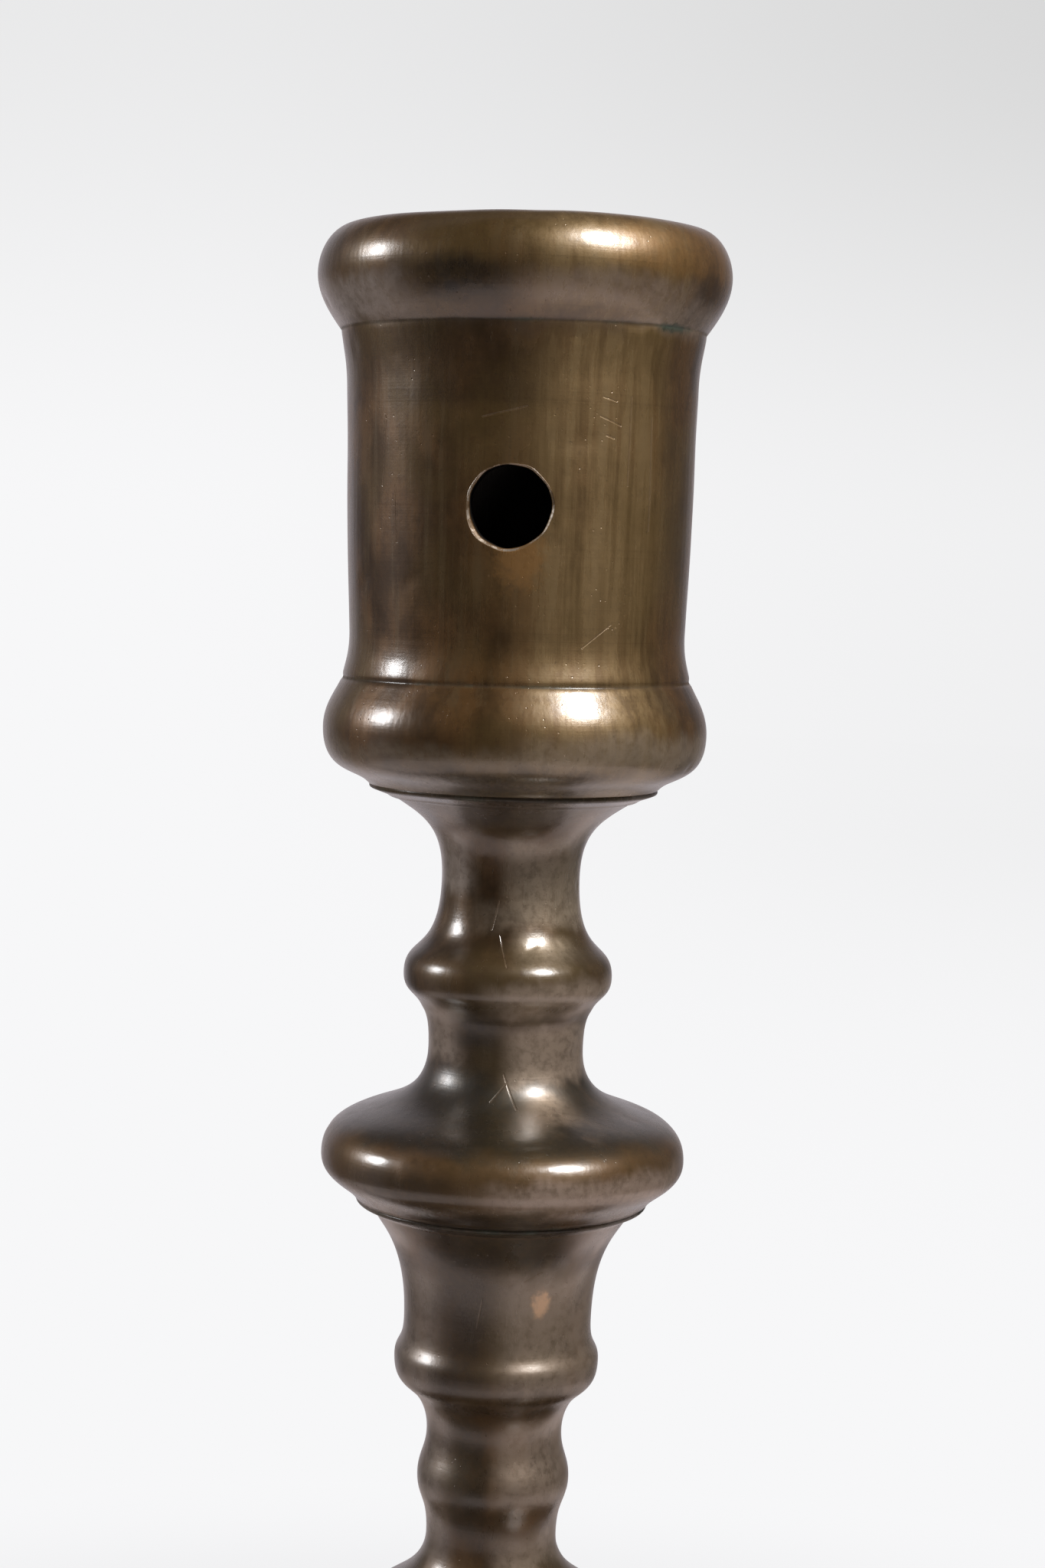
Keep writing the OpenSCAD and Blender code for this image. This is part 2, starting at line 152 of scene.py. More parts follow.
# Base, its largest radius a hair inside the CAD model's box
BASE_TOP_R = 14.7
BASE_BEAD = (15.5, 46.5)
BASE_BEAD_FOOT_Z = 45
BASE_NECK = (13.3, 41.4)
MOULDING = (50, 11.5)
FILLET = (50.8, 10.2)
BASE_R = 56.96
BAND_Z = 4.6
BAND_FOOT_Z = 2.3
UNDERCUT = (56.2, 1.7)
STANDING_R = 53
HOLLOW_EDGE = (47.2, 8.7)
HOLLOW_TOP_R = 10.5

# Closed outlines end this far short of their first point
LOOP_GAP = 0.05
SOCKET_LOOP_GAP = 0.04

# Bends of quarter rounds that set off level or upright
LEVEL_FIRST = ((0.55, 0), (0, 0.55))
UPRIGHT_FIRST = ((0, 0.55), (0.55, 0))

# Spacing of an outline's points as drawn, and once smoothed, before the mesh rows are picked from them
POINT_GAP = 0.04
FINE = 0.03

# How the riveted socket sits: lean to the left of the hole and tilt of its rings, in degrees.
# The tilt grows from its least share at the seat to all of it, and sinks the socket by a hair.
SOCKET_LEAN = 0.4
SOCKET_TILT = 0.7
TILT_LEAST = 0.3
TILT_FULL_Z = 9
TILT_SINK = 0.16

# Half size of the window that the extraction hole's mesh fills in the socket's wall
WINDOW = 5.4

# Dents end within an arc, in degrees, and at a squared distance in their own radii. They fade by the fall,
# and a slant of 1 shears them by this much.
DENT_ARC = 60
DENT_END = 6
DENT_FALL = 1.2
DENT_SLANT = 0.6


class Outline:
    """Half section of a turned piece: radius and height of points, and the mesh step wanted at each."""

    def __init__(self, start, step):
        self.points = [start]
        self.steps = [step]

    def line(self, end, step):
        """Straight to the end."""
        a = np.array(self.points[-1])
        b = np.array(end)
        count = max(2, int(np.hypot(*(b - a)) / POINT_GAP))
        for i in range(1, count + 1):
            self.points.append(tuple(a + (b - a) * i / count))
            self.steps.append(step)

    def turn(self, end, bend, step):
        """A cubic curve to the end, its handles given as shares of the way in radius and height."""
        a = np.array(self.points[-1])
        b = np.array(end)
        p = a + np.array(bend[0]) * (b - a)
        q = b - np.array(bend[1]) * (b - a)
        count = max(8, int(np.hypot(*(b - a)) * 1.3 / POINT_GAP))
        for i in range(1, count + 1):
            t = i / count
            s = 1 - t
            point = s**3 * a + 3 * s * s * t * p + 3 * s * t * t * q + t**3 * b
            self.points.append(tuple(point))
            self.steps.append(step)

    def collar(self, seam_r, edge_z, ridge):
        """A collar: its top in the seam, its sharp edge and the fine ridge under it."""
        self.line((seam_r - COLLAR_INSET, COLLAR_RISE), 0.8)
        self.line((seam_r, edge_z), 0.1)
        self.line(ridge[0], 0.12)
        self.line(ridge[1], 0.08)
        self.line(ridge[2], 0.08)


def smoothed(outline, closed, rounding):
    """Points evenly spaced, with corners rounded by wear, and the mesh step at each."""
    points = np.array(outline.points)
    steps = list(outline.steps)
    if closed:
        points = np.vstack([points, points[:1]])
        steps = steps + [steps[0]]
    along = np.concatenate([[0], np.cumsum(np.hypot(*np.diff(points, axis=0).T))])
    count = int(along[-1] / FINE)
    grid = np.linspace(0, along[-1], count, endpoint=not closed)
    even = np.stack([np.interp(grid, along, points[:, 0]), np.interp(grid, along, points[:, 1])], 1)
    want = np.interp(grid, along, steps)
    half = int(4 * rounding / FINE) + 1
    kernel = np.exp(-0.5 * (np.arange(-half, half + 1) * FINE / rounding) ** 2)
    kernel /= kernel.sum()
    ends = dict(mode="wrap") if closed else dict(mode="reflect", reflect_type="odd")
    padded = np.pad(even, ((half, half), (0, 0)), **ends)
    out = np.stack([np.convolve(padded[:, k], kernel, "valid") for k in (0, 1)], 1)
    return out, want


def curvature(points, closed, reach):
    """Turn of the outline over a length of reach, in radians, positive in a hollow."""
    n = max(1, int(reach / FINE / 2))
    index = np.arange(len(points))
    ends = "wrap" if closed else "clip"
    a = points - points.take(index - n, 0, mode=ends)
    b = points.take(index + n, 0, mode=ends) - points
    cross = a[:, 0] * b[:, 1] - a[:, 1] * b[:, 0]
    dot = (a * b).sum(1)
    return -np.arctan2(cross, dot)


def rows_of(outline, closed, rounding):
    """Rows for the mesh, closer together where the outline turns, with hollow and edge values."""
    reach = 0.12
    turn_per_row = 0.16
    fine, want = smoothed(outline, closed, rounding)
    turn = np.abs(curvature(fine, closed, reach))
    length = np.hypot(*np.diff(fine, axis=0, append=fine[:1] if closed else fine[-1:]).T)
    cost = length / want + turn * length / reach / turn_per_row
    total = np.concatenate([[0], np.cumsum(cost)])[:-1]
    count = int(total[-1])
    picks = np.searchsorted(total, np.linspace(0, total[-1], count, endpoint=not closed))
    picks = np.unique(np.clip(picks, 0, len(fine) - 1))
    near = curvature(fine, closed, 0.5)
    wide = curvature(fine, closed, 1.6)
    hollow = np.clip(near / 0.9, 0, 1) * 0.5 + np.clip(wide / 1.2, 0, 1) * 0.5
    edge = np.clip(-near / 0.9, 0, 1) * 0.7 + np.clip(-wide / 1.6, 0, 1) * 0.3
    return fine[picks], hollow[picks], edge[picks]


def lathe(outline, z0, columns, closed, rounding):
    """Rows, vertices, faces and values of a turned mesh. Column 0 is at the back, the hole in front."""
    rows, hollow, edge = rows_of(outline, closed, rounding)
    n = len(rows)
    angle = -math.pi + 2 * math.pi * np.arange(columns) / columns
    r = rows[:, 0][:, None]
    x = r * np.sin(angle)
    y = -r * np.cos(angle)
    z = np.repeat(rows[:, 1][:, None] + z0, columns, axis=1)
    verts = np.stack([x, y, z], 2).reshape(-1, 3)
    faces = []
    for i in range(n if closed else n - 1):
        k = (i + 1) % n
        for j in range(columns):
            m = (j + 1) % columns
            faces.append((i * columns + j, i * columns + m, k * columns + m, k * columns + j))
    values = {"hollow": np.repeat(hollow, columns), "edge": np.repeat(edge, columns)}
    return rows, verts, faces, values


def vertex_normals(verts, faces):
    """Normals averaged from the faces round each vertex, larger faces counting more."""
    f = np.array([face[:4] for face in faces])
    a = verts[f[:, 2]] - verts[f[:, 0]]
    b = verts[f[:, 3]] - verts[f[:, 1]]
    normal = np.cross(a, b)
    total = np.zeros_like(verts)
    for k in range(4):
        np.add.at(total, f[:, k], normal)
    size = np.linalg.norm(total, axis=1, keepdims=True)
    return total / np.maximum(size, 1e-12)


def dented(verts, normals, seed, wear, dents):
    """Small hollows from use: the listed ones, and some at random places between two heights."""
    rnd = random.Random(seed)
    reach = np.hypot(verts[:, 0], verts[:, 1])
    angle = np.degrees(np.arctan2(verts[:, 0], -verts[:, 1]))
    small, large = wear["size"]
    extra = []
    for _ in range(wear["count"]):
        extra.append((
            rnd.uniform(-180, 180),
            rnd.uniform(wear["low"], wear["high"]),
            rnd.uniform(small, large),
            rnd.uniform(0.3, 1) ** 2 * wear["depth"],
            rnd.uniform(0.5, 2),
            rnd.uniform(-1, 1),
        ))
    out = verts.copy()
    for where, height, radius, deep, stretch, slant in list(dents) + extra:
        away = (angle - where + 180) % 360 - 180
        across = np.radians(away) * reach
        up = verts[:, 2] - height + slant * across * DENT_SLANT
        far = (across / (radius * stretch)) ** 2 + (up / radius) ** 2
        near = (far < DENT_END) & (np.abs(away) < DENT_ARC)
        out[near] -= normals[near] * (deep * np.exp(-far[near] * DENT_FALL))[:, None]
    return out


def uneven(verts, normals, seed, amount):
    """Slow waves of a hand-finished surface, never standing proud of the true outline."""
    waves = 14
    highest = 0.35
    rnd = random.Random(seed)
    total = np.zeros(len(verts))
    for _ in range(waves):
        k = Vector((rnd.gauss(0, 1), rnd.gauss(0, 1), rnd.gauss(0, 1))).normalized()
        wave = 2 * math.pi / rnd.uniform(5, 16)
        phase = rnd.uniform(0, 2 * math.pi)
        total += np.sin((verts @ np.array(k)) * wave + phase)
    total = total / waves
    depth = np.maximum(highest - total, 0) * amount
    return verts - normals * depth[:, None]


def placed(name, data):
    """A new object in the scene."""
    obj = bpy.data.objects.new(name, data)
    bpy.context.scene.collection.objects.link(obj)
    return obj


def mesh_object(name, verts, faces, values):
    """A smooth mesh object from points in millimetres, with the values as attributes."""
    mesh = bpy.data.meshes.new(name)
    mesh.from_pydata((verts * MM).tolist(), [], faces)
    mesh.validate()
    for key, data in values.items():
        layer = mesh.attributes.new(key, "FLOAT", "POINT")
        layer.data.foreach_set("value", np.asarray(data, dtype=np.float32))
    mesh.shade_smooth()
    mesh.update()
    return placed(name, mesh)


def window_rows(rows):
    """Mesh rows of the hole's window from the bottom up, in the outer wall and in the bore."""
    near = np.abs(rows[:, 1] - HOLE_Z) < WINDOW
    outer = np.flatnonzero(near & (rows[:, 0] > BORE_R + 1.5)).tolist()
    inner = np.flatnonzero(near & (np.abs(rows[:, 0] - BORE_R) < 0.01)).tolist()
    count = min(len(outer), len(inner))
    return outer[:count], inner[:count][::-1]


def window_ring(span, window):
    """The window's border points once round, as row from its bottom and column."""
    ring = [(0, j) for j in window[:-1]]
    ring += [(a, window[-1]) for a in range(span)]
    ring += [(span, j) for j in window[:0:-1]]
    ring += [(a, window[0]) for a in range(span, 0, -1)]
    return ring


def outside_window(faces, outer, inner, window, columns):
    """The faces that are left once the window is cut from the outer wall and from the bore."""
    cut = set()
    for a in range(len(outer) - 1):
        for j in window[:-1]:
            cut.add((outer[a], j))
            cut.add((inner[a + 1], j))
    return [face for face in faces if divmod(face[0], columns) not in cut]


def bore_y(x):
    """Front of the bore at x."""
    return -np.sqrt(BORE_R * BORE_R - x * x)


def wall_y(wall, x, z):
    """Front of the outer wall at x and z. The wall is its mesh rows as radius and height."""
    r = np.interp(z, wall[:, 1], wall[:, 0])
    return -np.sqrt(r * r - x * x)


def hole_loops(start, inside, wall):
    """Loops of points from the window over the worn bevel and the hole's wall to the bore.
    Each has its hollow and edge values."""
    turn = np.arctan2(start[:, 2] - HOLE_Z, start[:, 0])
    across = np.cos(turn)
    up = np.sin(turn)
    worn = 0.22 + 0.05 * np.sin(turn * 2 + 0.6) + 0.03 * np.sin(turn * 5 + 2.1)
    worn -= 0.06 * np.sin(turn + 0.7)
    ragged = 0.03 * np.sin(turn * 3 + 1) + 0.02 * np.sin(turn * 7) + 0.015 * np.sin(turn * 11 + 2)
    rim = HOLE_R + worn + ragged
    loops = []
    marks = []

    # in the outer wall, from the square window to just outside the bevel, closer together inwards
    wall_steps = 14
    closer = 0.8
    outside = 1.02
    for s in range(1, wall_steps + 1):
        t = (s / wall_steps) ** closer
        x = (1 - t) * start[:, 0] + t * rim * outside * across
        z = (1 - t) * start[:, 2] + t * (HOLE_Z + rim * outside * up)
        loops.append((x, wall_y(wall, x, z), z))
        marks.append((0, max(0, t - 0.95) * 6))

    # over the bevel: share of its width that is left, and depth in widths
    bevel = ((1, 0.03), (0.93, 0.1), (0.8, 0.24), (0.55, 0.5), (0.3, 0.76), (0.13, 0.93), (0.04, 1.08),
             (0, 1.3))
    edge_y = wall_y(wall, rim * across, HOLE_Z + rim * up)
    for wide, deep in bevel:
        rho = HOLE_R + (worn + ragged) * wide + ragged * (1 - wide)
        loops.append((rho * across, edge_y + worn * deep, HOLE_Z + rho * up))
        # edge values over 1 give the bevel bare metal with a painted glint
        marks.append((0, 1.3 if 0.2 < wide < 0.95 else 0.5))

    # straight through the wall, with a hollow value that has it painted near-black as shade
    depth_steps = 7
    x, y, z = loops[-1]
    for s in range(1, depth_steps + 1):
        t = s / depth_steps
        loops.append((x, (1 - t) * y + t * bore_y(x), z))
        marks.append((1.5, 0))

    # in the bore, back out to its own square window
    bore_steps = 9
    for s in range(1, bore_steps):
        t = s / bore_steps
        out_x = (1 - t) * x + t * inside[:, 0]
        out_z = (1 - t) * z + t * inside[:, 2]
        loops.append((out_x, bore_y(out_x), out_z))
        marks.append((0.3, 0))
    return loops, marks


def hole_patch(rows, verts, faces, values, columns, z0):
    """The extraction hole, meshed into square windows of the outer wall and of the bore."""
    outer, inner = window_rows(rows)
    middle = columns // 2
    width = int(round(math.degrees(WINDOW / WAIST_R) * columns / 360))
    window = list(range(middle - width, middle + width + 1))
    kept = outside_window(faces, outer, inner, window, columns)
    ring = window_ring(len(outer) - 1, window)
    out_ids = [outer[a] * columns + j for a, j in ring]
    in_ids = [inner[a] * columns + j for a, j in ring]
    seat = np.array([0, 0, z0])
    loops, marks = hole_loops(verts[out_ids] - seat, verts[in_ids] - seat, rows[outer])
    count = len(ring)
    ids = [out_ids]
    for s in range(len(loops)):
        first = len(verts) + s * count
        ids.append(range(first, first + count))
    ids.append(in_ids)
    for a, b in zip(ids[:-1], ids[1:]):
        for k in range(count):
            m = (k + 1) % count
            kept.append((a[k], a[m], b[m], b[k]))
    added = [np.stack(loop, 1) + seat for loop in loops]
    verts = np.vstack([verts] + added)
    new = {}
    for key, pick in (("hollow", 0), ("edge", 1)):
        extra = np.repeat([mark[pick] for mark in marks], count)
        new[key] = np.concatenate([values[key], extra])
    return verts, kept, new


def drop_loose(verts, faces, values):
    """The same mesh without the points that no face uses."""
    used = np.unique(np.array([i for face in faces for i in face]))
    renumber = -np.ones(len(verts), dtype=int)
    renumber[used] = np.arange(len(used))
    faces = [tuple(int(renumber[i]) for i in face) for face in faces]
    return verts[used], faces, {key: data[used] for key, data in values.items()}


def socket_outline():
    """Cup with its bead, groove, straight body, rolled rim, bore and drilled floor."""
    cove_r = RIM_COVE[0]
    drilled = RIVET_R + FIT
    o = Outline((drilled, 0), 0.8)
    o.line((SOCKET_SEAM_R, 0), 0.8)
    o.turn(BEAD, ((0.27, 0.3), (0, 0.85)), 0.22)
    o.turn(GROOVE_LOW, ((0, 0.45), (0.34, 0.26)), 0.22)
    o.line((GROOVE_HIGH[0] - GROOVE_DEPTH, GROOVE_Z), 0.1)
    o.line(GROOVE_HIGH, 0.1)
    o.turn((WAIST_R, WAIST_Z), ((0.49, 0.34), (0, 0.5)), 0.25)
    o.turn((BODY_TOP_R, BODY_TOP_Z), ((0.54, 0.33), (0.17, 0.33)), 0.3)
    o.turn(RIM_COVE, ((0, 0.49), (0.45, 0.34)), 0.25)
    o.line((cove_r - RIM_LINE_DEPTH, RIM_LINE_Z), 0.1)
    o.line((cove_r + RIM_LINE_RISE, RIM_FOOT_Z), 0.1)
    o.turn((RIM_R, RIM_Z), ((0.35, 0.22), (0, 0.42)), 0.22)
    o.turn((LIP_R, LIP_Z), ((0, 0.5), (0.58, 0)), 0.22)
    o.turn((BORE_R, BORE_TOP_Z), ((0.5, 0), (0, 0.5)), 0.3)
    o.line((BORE_R, FLOOR_T), 0.3)
    o.line((RIVET_HEAD_R, FLOOR_T), 0.8)
    o.line((drilled, FLOOR_T - COUNTERSINK_H), 0.8)
    o.line((drilled, SOCKET_LOOP_GAP), 0.8)
    return o


def upper_outline():
    """Hammered rivet, collar, trumpet neck, small knop, spool, large knop and the bore for the screw."""
    bored = SCREW_R + FIT
    bore_end = SCREW_L + SCREW_END_GAP - UPPER_H
    o = Outline((0, FLOOR_T - RIVET_SINK), 0.7)
    o.turn((RIVET_HEAD_R - RIVET_ROUND, FLOOR_T - RIVET_ROUND), ((0.6, 0), (0.3, 0.4)), 0.5)
    o.line((RIVET_R, FLOOR_T - RIVET_HEAD_H), 0.6)
    o.line((RIVET_R, 0), 1.2)
    o.collar(SOCKET_SEAM_R, -0.3, UPPER_RIDGE)
    o.turn(NECK, ((0.6, 0.24), (0, 0.63)), 0.24)
    o.turn(SMALL_KNOP, ((0, 0.83), (0, 0.39)), 0.24)
    o.turn(SPOOL_EDGE, ((0, 0.56), (0.36, 0.47)), 0.18)
    o.turn(SPOOL, ((0.74, 0.19), (0, 0.49)), 0.22)
    o.turn(LARGE_KNOP, ((0, 0.72), (0, 0.61)), 0.24)
    o.turn(KNOP_FOOT, ((0, 0.56), (0.3, 0.3)), 0.2)
    o.line(SEAM_LINE[0], 0.07)
    o.line(SEAM_LINE[1], 0.07)
    o.line((BELL_SEAM_R, -UPPER_H), 0.1)
    o.line((bored, -UPPER_H), 0.8)
    o.line((bored, bore_end), 1.5)
    o.line((0, bore_end), 1)
    return o


def lower_outline():
    """Screw tenon, collar, bell, ring, throat, bulb, neck, foot knop, spreading foot and long tenon."""
    end = -LOWER_H - TENON_BELOW
    o = Outline((0, SCREW_L), 1)
    o.line((SCREW_R - TENON_CHAMFER, SCREW_L), 1)
    o.line((SCREW_R, SCREW_L - TENON_CHAMFER), 1)
    o.line((SCREW_R, 0), 1.5)
    o.collar(BELL_SEAM_R, -0.25, LOWER_RIDGE)
    o.turn(BELL, ((0.25, 0.16), (0, 0.69)), 0.26)
    o.turn(RING, ((0, 0.71), (0, 0.42)), 0.2)
    o.turn(RING_EDGE, ((0, 0.68), (0.51, 0.39)), 0.18)
    o.turn(THROAT, ((0.75, 0.32), (0, 0.32)), 0.2)
    o.turn(BULB, ((0, 0.46), (0, 0.38)), 0.24)
    o.turn(LOWER_NECK, ((0, 0.41), (0, 0.62)), 0.24)
    o.turn(FOOT_KNOP, ((0, 0.55), (0, 0.42)), 0.26)
    o.turn(FOOT_KNOP_EDGE, ((0, 0.42), (0.42, 0.15)), 0.24)
    o.turn(FOOT_NECK, ((0.6, 0.2), (0, 0.33)), 0.24)
    o.turn((FOOT_R, FOOT_RIM_H - LOWER_H), ((0, 0.7), (0.4, 0.12)), 0.26)
    o.line((FOOT_R, -LOWER_H), 0.2)
    o.line((TENON_R, -LOWER_H), 0.8)
    o.line((TENON_R, end + THREAD_ROWS_L), 1.5)
    o.line((TENON_R, end + TENON_CHAMFER), 0.09)
    o.line((TENON_R - TENON_CHAMFER, end), 0.12)
    o.line((0, end), 0.5)
    return o


def pan_outline():
    """Shallow pan with a rounded rim, a fine line in its well and a raised boss."""
    drilled = TENON_R + FIT
    o = Outline((drilled, 0), 1)
    o.line((PAN_SEAT_R, 0), 1)
    o.line((PAN_SEAT_R, PAN_LIFT), 0.3)
    o.line((PAN_UNDER_R, PAN_LIFT), 0.9)
    o.turn(PAN_RIM_ROOT, LEVEL_FIRST, 0.5)
    o.turn(PAN_RIM_WIDEST, LEVEL_FIRST, 0.2)
    o.turn(PAN_RIM_TOP, UPRIGHT_FIRST, 0.2)
    o.turn(PAN_RIM_INNER, LEVEL_FIRST, 0.2)
    o.turn((PAN_WELL_R, PAN_WELL_Z), UPRIGHT_FIRST, 0.35)
    o.line((PAN_LINE_R + PAN_LINE_W / 2, PAN_WELL_Z), 0.6)
    o.line((PAN_LINE_R, PAN_WELL_Z - PAN_LINE_DEPTH), 0.1)
    o.line((PAN_LINE_R - PAN_LINE_W / 2, PAN_WELL_Z), 0.1)
    o.line((PAN_BOSS_FOOT_R, PAN_WELL_Z), 0.6)
    o.turn(PAN_BOSS, LEVEL_FIRST, 0.3)
    o.line((PAN_BOSS[0], PAN_HUB_H), 0.3)
    o.line((drilled, PAN_HUB_H), 1)
    o.line((drilled, LOOP_GAP), 1.5)
    return o


def base_outline():
    """Bell foot with a bead at its top, a moulding at its edge and a hollow under its hub."""
    drilled = TENON_R + FIT
    hub = BASE_H - HUB_T
    o = Outline((drilled, BASE_H), 1)
    o.line((BASE_TOP_R, BASE_H), 1)
    o.turn(BASE_BEAD, LEVEL_FIRST, 0.2)
    o.turn((BASE_TOP_R, BASE_BEAD_FOOT_Z), UPRIGHT_FIRST, 0.2)
    o.turn(BASE_NECK, LEVEL_FIRST, 0.3)
    o.turn(MOULDING, ((0, 0.62), (0.55, 0.08)), 0.6)
    o.line((FILLET[0], MOULDING[1]), 0.2)
    o.line(FILLET, 0.2)
    o.turn((BASE_R, BAND_Z), LEVEL_FIRST, 0.4)
    o.line((BASE_R, BAND_FOOT_Z), 0.3)
    o.line(UNDERCUT, 0.2)
    o.line((UNDERCUT[0], 0), 0.3)
    o.line((STANDING_R, 0), 0.4)
    o.line((STANDING_R, BAND_FOOT_Z), 0.4)
    o.turn(HOLLOW_EDGE, UPRIGHT_FIRST, 0.7)
    o.turn((HOLLOW_TOP_R, hub), ((0.55, 0.08), (0, 0.55)), 0.9)
    o.line((drilled, hub), 1)
    o.line((drilled, BASE_H - LOOP_GAP), 1.5)
    return o


def turned_piece(name, node, outline, z0, columns, closed, rounding, seed, wear, dents=(), shape=None,
                 hole=False):
    """A turned mesh with its waves and dents, in the place of a CAD node."""
    rows, verts, faces, values = lathe(outline, z0, columns, closed, rounding)
    if hole:
        verts, faces, values = hole_patch(rows, verts, faces, values, columns, z0)
    verts, faces, values = drop_loose(verts, faces, values)
    normals = vertex_normals(verts, faces)
    widest = np.argmax(np.hypot(verts[:, 0], verts[:, 1]))
    if (normals[:, :2] * verts[:, :2]).sum(1)[widest] < 0:
        faces = [tuple(reversed(face)) for face in faces]
        normals = -normals
    verts = uneven(verts, normals, seed, wear["waves"])
    verts = dented(verts, normals, seed + 1, wear, dents)
    if shape is not None:
        verts = shape(verts)
    obj = mesh_object(name, verts, faces, values)
    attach(obj, "root")
    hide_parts(node)
    return obj


def leaning(verts):
    """The socket's lean and tilt on its rivet."""
    out = verts.copy()
    rise = verts[:, 2] - SOCKET_SEAM_Z
    share = np.clip(rise / TILT_FULL_Z, TILT_LEAST, 1)
    out[:, 0] -= rise * math.tan(math.radians(SOCKET_LEAN))
    out[:, 2] += (verts[:, 0] * math.tan(math.radians(SOCKET_TILT)) - TILT_SINK) * share
    return out


def threaded(verts):
    """Screw thread on the end of the long tenon, fading out over its last millimetre."""
    end = FOOT_Z - TENON_BELOW
    reach = np.hypot(verts[:, 0], verts[:, 1])
    turns = np.arctan2(verts[:, 0], -verts[:, 1]) / (2 * math.pi)
    phase = (verts[:, 2] - end) / THREAD_PITCH - turns
    cut = 0.5 - 0.5 * np.cos(2 * math.pi * phase)
    span = np.clip(end + THREAD_L - verts[:, 2], 0, 1) * np.clip(reach - THREAD_INNER_R, 0, 1)
    scale = np.where(reach < TENON_R + 0.05, 1 - THREAD_DEPTH * cut * span / np.maximum(reach, 1), 1)
    out = verts.copy()
    out[:, 0] *= scale
    out[:, 1] *= scale
    return out


# Dents that the photograph shows: degrees from the hole, height over the floor, radius, depth, stretch
# and slant
SOCKET_DENTS = [
    (38, 184.1, 0.45, 0.16, 2.6, 0.25),
    (44, 184.3, 0.4, 0.12, 2, -0.3),
    (20, 183, 0.35, 0.14, 0.8, 1.2),
    (-18, 184.5, 0.9, 0.1, 1.6, 0),
    (30, 190.6, 1.6, 0.07, 1.4, 0),
    (-22, 191.6, 1.8, 0.1, 2.4, 0),
    (6, 192, 1.2, 0.09, 2, 0),
]


def build_pieces():
    """The turned pieces by their CAD node. Wear is given in millimetres, its heights over the floor."""
    seat = SOCKET_SEAM_Z
    pieces = {}
    pieces["candle_socket"] = turned_piece(
        "socket_shell", "candle_socket", socket_outline(), seat,
        columns=224, closed=True, rounding=0.13, seed=11,
        wear=dict(waves=0.09, count=60, low=seat, high=seat + 46, depth=0.09, size=(0.3, 1.1)),
        dents=SOCKET_DENTS, shape=leaning, hole=True)
    pieces["upper_stem"] = turned_piece(
        "upper_baluster", "upper_stem", upper_outline(), seat,
        columns=240, closed=False, rounding=0.13, seed=23,
        wear=dict(waves=0.05, count=40, low=seat - 36, high=seat - 3, depth=0.07, size=(0.3, 0.9)))
    pieces["lower_stem"] = turned_piece(
        "lower_baluster", "lower_stem", lower_outline(), BELL_SEAM_Z,
        columns=180, closed=False, rounding=0.13, seed=37,
        wear=dict(waves=0.05, count=50, low=58, high=BELL_SEAM_Z - 3, depth=0.07, size=(0.3, 0.9)),
        shape=threaded)
    pieces["drip_pan"] = turned_piece(
        "wax_pan", "drip_pan", pan_outline(), BASE_H,
        columns=320, closed=True, rounding=0.1, seed=41,
        wear=dict(waves=0.08, count=40, low=BASE_H, high=BASE_H + 8, depth=0.12, size=(0.5, 1.6)))
    pieces["base"] = turned_piece(
        "bell_foot", "base", base_outline(), 0,
        columns=280, closed=True, rounding=0.12, seed=53,
        wear=dict(waves=0.1, count=70, low=2, high=46, depth=0.15, size=(0.5, 2)))
    return pieces


# Nodes for the materials

def rgb(red, green, blue):
    return (red, green, blue, 1)


